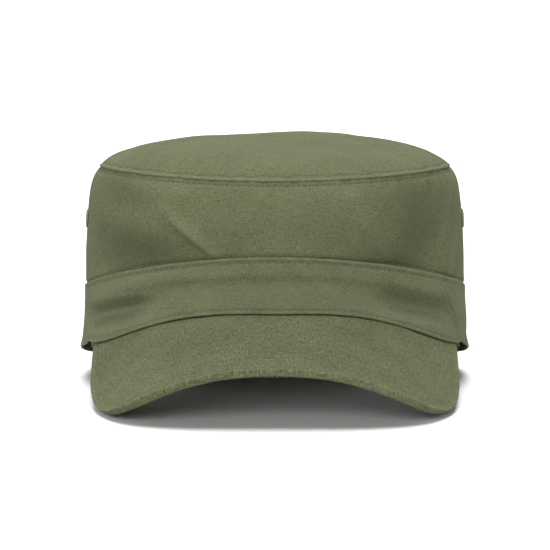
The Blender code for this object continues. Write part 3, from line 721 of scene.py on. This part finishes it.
# Each finish is a material and the slot that it fills.
CANVAS = cloth_material("canvas", OLIVE, 0.46 * MM), "canvas"
VISOR_CANVAS = cloth_material("visor_canvas", OLIVE, 0.46 * MM, contrast=1.7), "canvas"
INNER_TWILL = cloth_material("sweatband_twill", TWILL, 0.6 * MM, "twill", 1.0, 0.05, 0.6), "sweatband_twill"
TAPE_CLOTH = cloth_material("binding_tape", OLIVE_TAPE, 0.7 * MM, "ribs", wear_and_lighting=OLIVE), "binding_tape"
STIFFENER = cloth_material("buckram", BUCKRAM, 0.9 * MM, bump=0.7, wear_and_lighting=(0.8, 0.78, 0.7)), "buckram"
SATIN = cloth_material("label_satin", LABEL, 0.3 * MM, "ribs", 0.5, 0.1, 0.25, (0.8, 0.8, 0.75)), "label"
SEWING = thread_material("sewing_thread", OLIVE_THREAD), "thread"
PALE_SEWING = thread_material("pale_sewing_thread", scaled(OLIVE_THREAD, 1.18)), "thread"
METAL = metal_material(), "gunmetal"
PRESSED_BOARD = board_material(), "visor_board"


# ---------------------------------------------------------------- crown


def angle_steps(start, end, step_mm=1.2, also=()):
    count = int(abs(end - start) * HALF_LENGTH / (step_mm * MM)) + 1
    return np.unique(np.concatenate([np.linspace(start, end, count), [a for a in also if start < a < end]]))


def crown_wear_and_shading(angle, height):
    """Paler along the seam's rounded edge from wear; painted shade in each stitch, along the foot just above
    the band and in the sides' hollows, with painted light and shade from the folds' slope.
    """
    under = seam_height(angle) - height
    light = 0.14 * bell(under, 0, 0.7 * MM)
    # Painted shade: in each stitch, along the foot where the crown meets the band, and in the sides' hollows.
    dark = 0.7 * dashes(angle) * bell(under, SEAM_STITCH_DROP, 0.55 * MM)
    dark = dark + 0.12 * bell(height, band_top(angle), 0.9 * MM)
    hollows = 0.3 * dent(angle, height, -53, 78, 20, 19) + 0.32 * dent(angle, height, 47, 77, 13, 24)
    return light - dark - hollows + painted_slope_shading(crown_relief, angle, height)


def crown_wall(name, start, end):
    angle = angle_steps(start, end)
    edges = crown_foot(angle), seam_height(angle) + 0.25 * MM
    how = {"dense": ((0.93, 1, 26), (0.1, 0.2, 8)), "wear_and_shading_of": crown_wear_and_shading}
    return wall_piece(f"{name}_panel", name, angle, edges, CLOTH, crown_inset, CANVAS, 60, **how)


def crown_foot(angle):
    """Lower end of the crown's wall: tucked inside the band, or at the back opening."""
    return np.maximum(band_top(angle) - 5 * MM, opening_edge(angle, 2 * MM))


def eyelet_place(angle):
    here, normal = wall_frame(crown_inset, np.array([angle]), np.array([EYELET_HEIGHT]))
    turn = Vector(normal[0]).to_track_quat("Z", "Y").to_matrix().to_4x4()
    return Matrix.Translation(Vector(here[0])) @ turn


def turned_piece(name, node, profile, where, sides=72):
    """A metal ring turned from a closed profile of (radius, height) about the local Z axis."""
    points, uv = [], []
    for turn in [2 * pi * i / sides for i in range(sides)]:
        for r, h in profile:
            points.append(tuple(where @ Vector((r * cos(turn), r * sin(turn), h))))
            uv.append((r * turn, h))
    build(name, points, ring_faces(sides, len(profile), loop=True), METAL, uv, replaces=[node])


def arc_profile(middle, radius, start, end, count):
    turns = np.radians(np.linspace(start, end, count))
    return [(middle[0] + radius * cos(t), middle[1] + radius * sin(t)) for t in turns]


def eyelets(wall):
    """Two air eyelets on each side: a rolled rim outside, a toothless washer inside."""
    throat, sleeve = EYELET_HOLE - 0.8 * MM, EYELET_HOLE - GAP
    rim = [(throat, -2.0 * MM), (sleeve, -2.0 * MM), (sleeve, 0.1 * MM)]
    rim += [(EYELET_FLANGE - 0.1 * MM, 0.05 * MM)]
    rim += arc_profile((EYELET_FLANGE - 0.25 * MM, 0.3 * MM), 0.25 * MM, -60, 75, 6)
    rim += arc_profile((3.05 * MM, 0.1 * MM), 0.75 * MM, 60, 165, 9)
    rim += [(throat, 0.1 * MM)]
    inside = -CLOTH - GAP / 2 - 0.3 * MM
    washer = arc_profile((EYELET_FLANGE, inside), 0.25 * MM, -90, 90, 7)
    washer += arc_profile((EYELET_HOLE + 0.1 * MM, inside), 0.25 * MM, 90, 270, 7)
    for side_name, side in (("left", 1), ("right", -1)):
        for spot, angle in zip(("front", "rear"), EYELET_ANGLES):
            where = eyelet_place(side * angle)
            place = f"{side_name}_{spot}"
            turned_piece(f"eyelet_{place}_rim", f"eyelet_{place}", rim, where)
            turned_piece(f"eyelet_{place}_back", f"eyelet_washer_{place}", washer, where)
            drill(wall, where)


def drill(wall, where):
    """Punches the eyelet's hole through the finished wall."""
    mesh = bpy.data.meshes.new("punch")
    cone = bmesh.new()
    radii = {"radius1": EYELET_HOLE, "radius2": EYELET_HOLE}
    bmesh.ops.create_cone(cone, cap_ends=True, segments=40, depth=10 * MM, **radii)
    bmesh.ops.transform(cone, matrix=where, verts=cone.verts)
    cone.to_mesh(mesh)
    cone.free()
    punch = show("punch", mesh)
    modifier = wall.modifiers.new("hole", "BOOLEAN")
    modifier.operation, modifier.solver, modifier.object = "DIFFERENCE", "EXACT", punch
    bpy.context.view_layer.update()
    evaluated = wall.evaluated_get(bpy.context.evaluated_depsgraph_get())
    cut = bpy.data.meshes.new_from_object(evaluated)
    wall.modifiers.clear()
    wall.data = cut
    bpy.data.objects.remove(punch)


def dome_point(angle, share, lift):
    """A point of the top panel: share 0 is its middle, and 1 the seam."""
    inset = BAND_LEAN * upright(angle) + CROWN_STEP + CROWN_LEAN + SHOULDER
    x = (HALF_WIDTH - inset) * np.sin(angle) * share
    y = -(HALF_LENGTH - inset) * np.cos(angle) * share
    rise = 1 - DOME_ROUND * share**2 - (1 - DOME_ROUND) * share**DOME_EDGE_POWER
    base = DOME_CENTRE + (seam_height(angle) - DOME_CENTRE) * share**2
    u = along(angle)
    edge = (1 - share) * HALF_LENGTH
    soft = 0.32 * ripple(x, y, 70 * MM, 41) + 0.2 * ripple(x, y, 24 * MM, 42)
    soft = soft * smooth_step(edge, 0, 14 * MM)
    pucker = 0.42 * ripple(u, 0 * u, 12 * MM, 43) * np.exp(-edge / (6 * MM)) * smooth_step(edge, 0, 2 * MM)
    # Only the upper face rolls over the seam, sinks at its inner side and gathers.
    roll = 0.22 * bell(edge, 0.4 * MM, 0.7 * MM)
    roll = roll - 0.2 * (1 + 0.5 * ripple(u, 0 * u, 5 * MM, 45)) * bell(edge, 2.0 * MM, 0.7 * MM)
    for at, tall in GATHERS:
        across = np.degrees(angle) - at - edge / MM * 0.35
        roll = roll + tall * bell(across, 0, 2.0) * bell(edge, 0, 11 * MM) * smooth_step(edge, 0, 3 * MM)
    z = base + DOME_RISE * rise + lift + MM * (soft + pucker + roll * lift / CLOTH)
    return joined(x, y + OVAL_SHIFT, z)


def top_panel():
    angle = np.linspace(-pi, pi, 401)[:-1][:, None]
    shares = np.unique(np.concatenate([np.linspace(0, 1, 54), np.linspace(0.94, 1, 26)]))[None]
    over = dome_point(angle, shares, CLOTH)
    under = dome_point(angle, np.linspace(1, 0, 24)[None], 0)
    r = CLOTH / 2
    turn = np.linspace(pi / 2, -pi / 2, 9)[None, 1:-1, None]
    bulge = 0.6 * MM + 0.17 * MM * ripple(along(angle), 0 * angle, 5 * MM, 44)
    rim = over[:, -1:] + outward(angle) * np.cos(turn) * bulge[..., None]
    rim = rim + np.array([0, 0, r]) * (np.sin(turn) - 1)
    points = np.concatenate([over, rim, under], 1)
    wear_and_shading = np.zeros(points.shape[:2])
    top = shares.size
    edge = (1 - shares) * HALF_LENGTH
    # Pale along the worn edge of the seam, then painted shade in the sunken groove just inside it; the rim
    # below is pale from wear.
    wear_and_shading[:, :top] = 0.22 * bell(edge, 0.3 * MM, 0.6 * MM) - 0.3 * bell(edge, 2.0 * MM, 0.5 * MM)
    wear_and_shading[:, top:top + 3] = 0.18
    wear_and_shading[:, top + 4:top + 9] = 0.1
    faces = ring_faces(*wear_and_shading.shape, ring=False, loop=True)
    build("crown_top_panel", points, faces, CANVAS, points[..., :2], wear_and_shading, ["crown_top"])


def crown():
    top_panel()
    walls = {part: crown_wall(f"crown_{part}", *span) for part, span in SPANS.items()}
    eyelets(walls["front"])
    angle = np.linspace(-pi, pi, 900)
    line = wall_frame(crown_inset, angle, seam_height(angle) - SEAM_STITCH_DROP)
    sew("stitches_top_seam", [line], SEWING, seed=51, thick=0.36 * MM)
    runs = []
    for seam, over_foot in ((SIDE_SEAM, 8 * MM), (pi, 6 * MM), (-SIDE_SEAM, 8 * MM)):
        for side in (-1, 1):
            turn = seam + side * SEAM_STITCH_BESIDE / HALF_LENGTH
            turn = turn - 2 * pi if turn > pi else turn
            low = crown_foot(np.array([turn]))[0] + over_foot
            heights = np.linspace(low, seam_height(turn) - 2 * MM, 60)
            runs.append(wall_frame(crown_inset, np.full(60, turn), heights))
    sew("stitches_crown_seams", runs, SEWING, seed=52)
    inside_layers()


def inner_strip(name, angle, shares, depth, thick, finish, rows=40, loop=False):
    """A layer inside the crown's wall, between two shares of its height."""
    foot, tall = band_top(angle), seam_height(angle) - band_top(angle)
    edges = [foot + tall * share for share in shares]
    inset_of = deeper(crown_inset, depth)
    wall_piece(f"{name}_piece", name, angle, edges, thick, inset_of, finish, rows, loop=loop)


def inside_layers():
    """Interlining behind the front, and tapes over the seams."""
    angle = angle_steps(-radians(64), radians(64), 2.0)
    inner_strip("crown_interlining", angle, (0.12, 0.93), CLOTH + GAP, INTERLINING, STIFFENER)
    ring = np.linspace(-pi, pi, 361)[:-1]
    depth = CLOTH + 2 * GAP + INTERLINING
    inner_strip("top_seam_tape", ring, (0.8, 0.97), depth, TAPE, TAPE_CLOTH, 20, True)
    tapes = (("side_seam_tape_left", SIDE_SEAM, 0.1), ("side_seam_tape_right", -SIDE_SEAM, 0.1),
             ("back_seam_tape", pi, 0.45))
    for name, middle, low in tapes:
        turns = np.linspace(middle - radians(4), middle + radians(4), 15)
        inner_strip(name, turns, (low, 0.93), CLOTH + GAP, TAPE, TAPE_CLOTH)


# ---------------------------------------------------------------- headband and its inside


def band_foot(angle):
    return np.maximum(lower_edge(angle), opening_edge(angle, OPENING_INSET))


def band_wear_and_shading(angle, height):
    """A little paler all over, paler along its folded edges from wear, painted shade in each stitch, and
    painted light and shade from the folds' slope.
    """
    under = band_top(angle) - height
    light = 0.42 * dashes(angle) * bell(under, 0, 0.7 * MM) + 0.12 * bell(height, lower_edge(angle), 1.0 * MM)
    # Painted shade in each stitch.
    dark = 0.6 * dashes(angle) * bell(under, BAND_STITCH_DROP, 0.5 * MM)
    return 0.16 + light - dark + painted_slope_shading(band_relief, angle, height)


def band_panel(name, start, end):
    """A panel of the headband, with closer steps at the visor's ends and the back opening."""
    also = [side * (VISOR_ANGLE + tiny) for side in (-1, 1) for tiny in (0, radians(0.02))]
    spread = ARCH_HALF_WIDTH * np.cos(np.radians(np.linspace(0.2, 28, 24)))
    for x in (ARCH_HALF_WIDTH + 0.02 * MM, *spread):
        also += [side * (pi - asin(x / (HALF_WIDTH - OPENING_INSET))) for side in (-1, 1)]
    angle = angle_steps(start, end, also=also)
    angle = angle[band_top(angle) - band_foot(angle) > BAND_CLOTH * 1.05]
    edges = band_foot(angle), band_top(angle)
    how = {"dense": ((0, 0.18, 22), (0.85, 1, 26)), "wear_and_shading_of": band_wear_and_shading}
    wall_piece(f"{name}_panel", name, angle, edges, BAND_CLOTH, band_inset, CANVAS, 48, **how)


def headband():
    for part, span in SPANS.items():
        band_panel(f"band_{part}", *span)
    open_at = pi - asin(37 * MM / HALF_WIDTH)
    angle = np.linspace(-open_at, open_at, 900)
    line = wall_frame(band_inset, angle, band_top(angle) - BAND_STITCH_DROP)
    sew("stitches_band_top", [line], SEWING, seed=61)
    end = pi - asin((ARCH_HALF_WIDTH + 3 * MM) / HALF_WIDTH)
    rear = np.linspace(VISOR_ANGLE + 0.02, end, 240)
    turns = (np.linspace(-VISOR_ANGLE + 0.01, VISOR_ANGLE - 0.01, 500), -rear, rear)
    runs = [wall_frame(band_inset, turn, lower_edge(turn) + BAND_STITCH_RISE) for turn in turns]
    sew("stitches_band_edge", runs, SEWING, seed=62)


def sweat_top(angle):
    return np.minimum(rear_edge(angle) + SWEAT_HEIGHT, band_top(angle) + 3 * MM)


def sweatband():
    """The sweatband, sewn along both edges, and its two blank labels."""
    angle = angle_steps(-SWEAT_END, SWEAT_END, 1.8)
    x, y = oval(angle, SWEAT_FRONT)
    low = np.where(np.abs(angle) > VISOR_ANGLE, rear_edge(angle) + SWEAT_FOOT, visor_top(x, y) - VISOR_DEPTH)
    high = sweat_top(angle)
    wall_piece("sweatband_lining", "sweatband", angle, (low, high), CLOTH, sweat_inset, INNER_TWILL, 36)
    inside = deeper(sweat_inset, CLOTH)
    runs = [facing_in(inside, angle, level) for level in (low + 2.5 * MM, high - 3 * MM)]
    sew("stitches_sweatband", runs, SEWING, seed=71)
    for name, start, end in (("size_label", 136, 144), ("care_label", -146, -134)):
        turns = np.radians(np.linspace(start, end, 24))
        foot = rear_edge(turns) + SWEAT_FOOT
        bottom, top = [foot + share * (sweat_top(turns) - foot) for share in (0.2, 0.85)]
        face = deeper(inside, GAP)
        wall_piece(f"{name}_piece", name, turns, (bottom, top), LABEL_CLOTH, face, SATIN, 24)
        run = facing_in(deeper(face, LABEL_CLOTH), turns, top - 1.5 * MM)
        sew(f"stitches_{name}", [run], SEWING, seed=72, pitch=2.4 * MM)


# ---------------------------------------------------------------- visor


def visor_outer(turn):
    across = (np.abs(np.sin(turn)) / VISOR_HALF_WIDTH) ** VISOR_SQUARENESS
    ahead = (np.abs(np.cos(turn)) / VISOR_LENGTH) ** VISOR_SQUARENESS
    return (across + ahead) ** (-1 / VISOR_SQUARENESS)


def visor_inner(turn):
    a, b = HALF_WIDTH - VISOR_INNER, HALF_LENGTH - VISOR_INNER
    square = (np.sin(turn) / a) ** 2 + (np.cos(turn) / b) ** 2
    linear = -2 * VISOR_BACK * np.cos(turn) / b**2
    rest = (VISOR_BACK / b) ** 2 - 1
    return (-linear + np.sqrt(linear**2 - 4 * square * rest)) / (2 * square)


def visor_edge(turn):
    """The visor's outline in plan, and the outline's outward normal."""
    reach = visor_outer(turn)
    line = joined(reach * np.sin(turn), OVAL_SHIFT + VISOR_BACK - reach * np.cos(turn))
    normal = left_of(line)
    middle = np.array([0, OVAL_SHIFT + VISOR_BACK])
    if ((line - middle) * normal).sum() < 0:
        normal = -normal
    return line, normal


EDGE_TURNS = np.linspace(-VISOR_END, VISOR_END, 700)
EDGE_LINE, EDGE_NORMAL = visor_edge(EDGE_TURNS)


def edge_distance(x, y, batch=4000):
    """Distance in plan from points to the visor's outline."""
    flat = joined(x.ravel(), y.ravel())
    parts = [flat[start:start + batch, None] - EDGE_LINE[None] for start in range(0, len(flat), batch)]
    return np.concatenate([np.sqrt((away**2).sum(-1).min(1)) for away in parts]).reshape(x.shape)


def visor_relief(x, y, seed):
    """Quilting of the sewn rows, with soft unevenness between them, and the distance to the edge."""
    away = edge_distance(x, y)
    sewn = sum(bell(away, row, 0.62 * MM) for row in VISOR_ROWS) * smooth_step(away, 0.4 * MM, 2 * MM)
    puff = 0.1 * ripple(x, y, 30 * MM, seed) + 0.04 * ripple(x, y, 7 * MM, seed + 1)
    return MM * (puff + 0.16 * bell(away, 1.3 * MM, 0.9 * MM) - 0.09 * sewn), away


def visor_way(turn, reach, x, y):
    """Which way the visor's thickness runs: straight down near the band, then square to it."""
    normal = visor_normal(x, y)
    straight = np.zeros_like(normal)
    straight[..., 2] = 1 / normal[..., 2]
    share = smooth_step(reach - visor_inner(turn), VISOR_INNER, 5 * VISOR_INNER)[..., None]
    return straight * (1 - share) + normal * share


def visor_grid(turn, shares, depth, trim):
    """Points at a depth under the visor's top, their place in plan and which way is up there."""
    start, end = visor_inner(turn), visor_outer(turn)
    reach = np.minimum(start + (end - start) * shares, end - trim)
    x, y = reach * np.sin(turn), OVAL_SHIFT + VISOR_BACK - reach * np.cos(turn)
    way = visor_way(turn, reach, x, y)
    return on_visor(x, y) - way * depth, x, y, way


def visor_cover():
    """The upper cover, rolled over the front edge and turned in beneath it."""
    turn = np.linspace(-VISOR_END, VISOR_END, 341)[:, None]
    width = visor_outer(turn) - visor_inner(turn)
    narrow = np.clip(width / (3 * VISOR_ROLL), 0, 1)
    shares = np.unique(np.concatenate([np.linspace(0, 1, 118), np.linspace(0.93, 1, 24)]))[None]
    over, x, y, way = visor_grid(turn, shares, 0.0, COVER_TRIM * narrow)
    relief, away = visor_relief(x, y, 81)
    calm = smooth_step(shares * width, 3.4 * MM, 5 * MM)
    over = over + way * (relief * calm * narrow)[..., None]
    round_by = np.linspace(pi / 2, -pi / 2, 15)[None, 1:-1]
    down = 1 - np.sin(round_by)
    out = narrow * (0.7 * MM * np.cos(round_by) - 0.6 * MM * down)
    roll = over[:, -1:] - way[:, -1:] * (VISOR_DEPTH / 2 * down)[..., None]
    roll = roll + outward(turn) * out[..., None]
    turned, *_ = visor_grid(turn, np.array([[1.0]]), VISOR_DEPTH, TURNED_TRIM * narrow)
    inner, *_ = visor_grid(turn, np.linspace(1, 0, 30)[None], VISOR_COVER, TURNED_TRIM * narrow)
    points = np.concatenate([over, roll, turned, inner], 1)
    wear_and_shading = np.zeros(points.shape[:2])
    # Pale along the worn rolled edge, painted shade along the sewn rows, and a painted shadow where the visor
    # meets the band.
    rows = sum(bell(away, row, 0.5 * MM) for row in VISOR_ROWS)
    band_y = OVAL_SHIFT - HALF_LENGTH * np.sqrt(np.clip(1 - (x / HALF_WIDTH) ** 2, 0, 1))
    shade = 0.7 * bell(y, band_y, 0.7 * MM)
    wear_and_shading[:, :shares.size] = 0.16 * bell(away, 1.2 * MM, 0.9 * MM) - 0.05 * rows - shade
    faces = ring_faces(*wear_and_shading.shape)
    build("visor_cover_top", points, faces, VISOR_CANVAS, points[..., :2], wear_and_shading, ["visor_top_cover"])


def visor_layer(name, node, depth, thick, finish, rows, seed=None):
    """A layer inside the roll of the upper cover: the board, or the sewn under cover."""
    turn = np.linspace(-VISOR_END, VISOR_END, 281)[:, None]
    width = visor_outer(turn) - visor_inner(turn)
    trim = LAYER_TRIM * np.clip(width / (3 * VISOR_ROLL), 0, 1)
    shares = np.linspace(0, 1, rows)[None]
    top, *_ = visor_grid(turn, shares, depth, trim)
    under, x, y, way = visor_grid(turn, shares[:, ::-1], depth + thick, trim)
    if seed:
        relief, _ = visor_relief(x, y, seed)
        under = under - way * (relief * smooth_step(width, 2 * MM, 8 * MM))[..., None]
    points = np.concatenate([top, under], 1)
    build(name, points, ring_faces(*points.shape[:2]), finish, points[..., :2], replaces=[node])


def visor_row(distance, depth, side, seed):
    """A sewn row at a distance inside the visor's edge, as a line with normals, or None if too short."""
    x, y = (EDGE_LINE - EDGE_NORMAL * distance).T
    ahead = (x / (HALF_WIDTH + 1.0 * MM)) ** 2 + ((y - OVAL_SHIFT) / (HALF_LENGTH + 1.0 * MM)) ** 2 > 1
    keep = ahead & (y < OVAL_SHIFT)
    x, y = x[keep], y[keep]
    if len(x) < 12:
        return None
    normal = visor_normal(x, y)
    relief, _ = visor_relief(x, y, seed)
    points = on_visor(x, y) - normal * depth + side * normal * relief[:, None]
    return points, side * normal


def visor_rows(depth, side, seed):
    return [run for run in (visor_row(row, depth, side, seed) for row in VISOR_ROWS) if run]


def visor():
    visor_cover()
    depth = VISOR_COVER + GAP
    visor_layer("visor_stiffener", "visor_board", depth, VISOR_BOARD, PRESSED_BOARD, 30)
    depth += VISOR_BOARD + GAP
    visor_layer("visor_cover_under", "visor_under_cover", depth, VISOR_COVER, VISOR_CANVAS, 110, seed=84)
    how = {"pitch": 2.6 * MM, "gap": 1.3 * MM, "thick": 0.44 * MM, "proud": 0.17 * MM}
    sew("stitches_visor_top", visor_rows(0.0, 1, 81), PALE_SEWING, seed=82, **how)
    how = {"pitch": 3.0 * MM, "thick": 0.36 * MM, "proud": 0.12 * MM}
    sew("stitches_visor_under", visor_rows(VISOR_DEPTH, -1, 84), SEWING, seed=83, **how)
    x, y = (EDGE_LINE - EDGE_NORMAL * VISOR_RIM_ROW)[12:-12].T
    normal = visor_normal(x, y)
    points = on_visor(x, y) - normal * (VISOR_DEPTH - 0.1 * MM)
    how = {"pitch": 2.1 * MM, "gap": 0.8 * MM, "thick": 0.7 * MM, "proud": 0.3 * MM}
    sew("stitches_visor_rim", [(points, -normal)], SEWING, seed=85, **how)


# ---------------------------------------------------------------- back opening and its closure


def wall_surface(x, z, depth):
    """Points at a depth inside the outer face of the wall's back, the crown's or the band's, at (x, z)."""
    inset = np.zeros_like(x)
    for _ in range(4):
        angle = pi - np.arcsin(np.clip(x / (HALF_WIDTH - inset), -1, 1))
        turn = np.where(x < 0, angle - 2 * pi, angle)
        inset = np.where(z > band_top(turn), crown_inset(turn, z), band_inset(turn, z))
    deep = inset + depth
    y = OVAL_SHIFT + (HALF_LENGTH - deep) * np.sqrt(1 - (x / (HALF_WIDTH - deep)) ** 2)
    return joined(x, y, z)


def arch_binding():
    """Tape folded over the edge of the back opening, sewn through near its inner edge."""
    turn = np.radians(np.linspace(16, 164, 170))[:, None]
    nx, nz = ARCH_RISE * np.cos(turn), ARCH_HALF_WIDTH * np.sin(turn)
    size = np.hypot(nx, nz)

    def beside(away):
        x = ARCH_HALF_WIDTH * np.cos(turn) + nx / size * away
        return x, ARCH_LEG + ARCH_RISE * np.sin(turn) + nz / size * away

    # The tape's outer face from its front flap round the fold to its back flap, then its inner face.
    flap, fold = 6.5 * MM, -1.1 * MM
    leg = np.linspace(flap, fold + 0.4 * MM, 12)
    outer, inner = [fold, fold - 0.15 * MM, fold], [fold + 0.3 * MM] * 3
    away = np.concatenate([leg, outer, leg[::-1], leg, inner, leg[::-1]])
    depths = [-0.3, -0.55, 0.0, 0.5, 1.0, 1.75, 1.25, 0.7, 0.5, 0.2, -0.12]
    depth = MM * np.repeat(depths, [1, 11, 1, 1, 1, 12, 12, 1, 1, 1, 12])
    x, z = beside(away[None])
    points = wall_surface(x, z, np.broadcast_to(depth[None], x.shape))
    uv = joined(run_length(points[:, 0])[:, None], away[None])
    build("arch_binding_tape", points, ring_faces(*x.shape), TAPE_CLOTH, uv, replaces=["arch_binding"])
    x, z = [part[:, 0] for part in beside(4.9 * MM)]
    line = wall_surface(x, z, np.full(len(x), -0.55 * MM))
    normal = unit(joined(x / HALF_WIDTH**2, (line[:, 1] - OVAL_SHIFT) / HALF_LENGTH**2, 0))
    sew("stitches_arch_binding", [(line, normal)], SEWING, seed=91, pitch=2.8 * MM)


def strap_line(turns, depth):
    radius = STRAP_CIRCLE - depth
    normal = joined(np.sin(turns), np.cos(turns))
    centre = np.array([0, HALF_LENGTH - STRAP_CIRCLE + OVAL_SHIFT])
    return centre + normal * radius, normal


def strap():
    turns = np.linspace(STRAP_FROM, STRAP_TO, 150)
    line, normal = strap_line(turns, STRAP_DEPTH + STRAP_CLOTH / 2)
    top = STRAP_BOTTOM + STRAP_WIDTH
    rows = (STRAP_BOTTOM + 2.2 * MM, top - 2.2 * MM)

    def relief(at, z):
        sewn = sum(bell(z, row, 0.5 * MM) for row in rows)
        return -0.14 * MM * sewn + 0.04 * MM * ripple(at, z, 9 * MM, 95)

    names = ("closure_strap_webbing", "closure_strap")
    sweep(*names, line, normal, STRAP_BOTTOM, top, STRAP_CLOTH, "strap", relief, 60)
    face, _ = strap_line(turns[3:-3], STRAP_DEPTH + 0.1 * MM)
    out = np.column_stack([normal[3:-3], 0 * face[:, 0]])
    runs = [(np.column_stack([face, np.full(len(face), row)]), out) for row in rows]
    sew("stitches_strap", runs, SEWING, body="strap", seed=96, thick=0.36 * MM, proud=0.08 * MM)


def buckle_frame_axes():
    """Origin, way along the strap and way outward at the buckle, in plan."""
    origin, out = strap_line(np.array([BUCKLE_ANGLE]), 0)
    return origin[0], np.array([cos(BUCKLE_ANGLE), -sin(BUCKLE_ANGLE)]), out[0]


def tab():
    """A loop of cloth round the buckle's bar, with its tail inside the band."""
    origin, forward, out = buckle_frame_axes()
    radius = BAR_RADIUS + GAP + TAB_CLOTH / 2
    turn = np.radians(np.linspace(-70, -250, 26))[:, None]
    hoop = origin + forward * (BAR_AT[0] + radius * np.cos(turn))
    hoop = hoop - out * (BAR_AT[1] + radius * np.sin(turn))
    begin = BUCKLE_ANGLE + (BAR_AT[0] + 2.2 * MM) / STRAP_CIRCLE
    tail, _ = strap_line(np.linspace(begin, TAB_TO, 40), TAB_DEPTH + TAB_CLOTH / 2)
    line = np.concatenate([hoop, tail])
    low, high = STRAP_BOTTOM + 1.5 * MM, STRAP_BOTTOM + STRAP_WIDTH - 1.5 * MM
    sweep("buckle_tab_loop", "buckle_tab", line, left_of(line), low, high, TAB_CLOTH)


def bar_tack(name, side, middle):
    """A dense row of threads laid side by side over the corner of the back opening."""
    x = BAR_TACK_OUT + np.linspace(-0.8 * MM, 0.8 * MM, 8)
    angle = side * (pi - np.arcsin(x / HALF_WIDTH))
    levels = np.arange(middle - 4 * MM, middle + 4 * MM, 0.5 * MM)
    runs = [wall_frame(band_inset, angle, np.full(8, z)) for z in levels]
    how = {"pitch": 1.5 * MM, "gap": 0.0, "thick": 0.55 * MM, "proud": 0.3 * MM}
    sew(f"{name}_threads", runs, SEWING, [name], seed=97, **how)


def closure():
    arch_binding()
    strap()
    tab()
    for side_name, side in (("left", 1), ("right", -1)):
        for level, middle in (("lower", 7.5 * MM), ("upper", 20.5 * MM)):
            bar_tack(f"bar_tack_{side_name}_{level}", side, middle)
    material, slot = METAL
    for name in ("buckle_frame", "buckle_pin", "buckle_lever"):
        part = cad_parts[name]
        part.data.materials.clear()
        part.data.materials.append(material)
        edge = part.modifiers.new("edge", "BEVEL")
        edge.width, edge.segments, edge.limit_method, edge.angle_limit = 0.12 * MM, 2, "ANGLE", radians(35)


# ---------------------------------------------------------------- stage


def floor():
    mesh = bpy.data.meshes.new("floor")
    plane = bmesh.new()
    bmesh.ops.create_grid(plane, x_segments=1, y_segments=1, size=30)
    plane.to_mesh(mesh)
    plane.free()
    pale, _, shader = start_material("floor", 0.95, specular=0.0)
    shader.inputs["Base Color"].default_value = (0.8, 0.8, 0.8, 1)
    mesh.materials.append(pale)
    show("floor", mesh)


def sun(name, azimuth, elevation, strength, spread):
    """A soft light: azimuth 0 is in front of the cap, and 90 at +X."""
    data = bpy.data.lights.new(name, "SUN")
    data.energy, data.angle = strength, radians(spread)
    made = show(name, data)
    a, e = radians(azimuth), radians(elevation)
    way = Vector((sin(a) * cos(e), -cos(a) * cos(e), sin(e)))
    made.rotation_mode = "QUATERNION"
    made.rotation_quaternion = way.to_track_quat("Z", "Y")


def studio():
    world = bpy.data.worlds.new("studio")
    world.use_nodes = True
    background = world.node_tree.nodes["Background"]
    background.inputs[0].default_value = (1, 1, 1, 1)
    background.inputs[1].default_value = 0.2
    bpy.context.scene.world = world
    sun("front", -12, 18, 2.0, 26)
    sun("top", 0, 84, 3.1, 36)
    sun("back", 180, 42, 2.3, 30)
    sun("rim_left", -118, 12, 0.8, 30)
    sun("rim_right", 118, 12, 0.8, 30)
    bpy.context.scene.view_settings.view_transform = "Standard"


def camera():
    """Straight in front, 7 degrees above the horizon, 1.8 m away."""
    rise, distance, aim = radians(7), 1.8, Vector((0, 0.7 * MM, 52 * MM))
    data = bpy.data.cameras.new("camera")
    data.sensor_width, data.lens = 36, 253.3
    data.clip_start, data.clip_end = 0.1, 100
    made = show("camera", data)
    made.location = aim + Vector((0, -distance * cos(rise), distance * sin(rise)))
    made.rotation_euler = (pi / 2 - rise, 0, 0)
    bpy.context.scene.camera = made


camera()
studio()
floor()
crown()
headband()
sweatband()
visor()
closure()
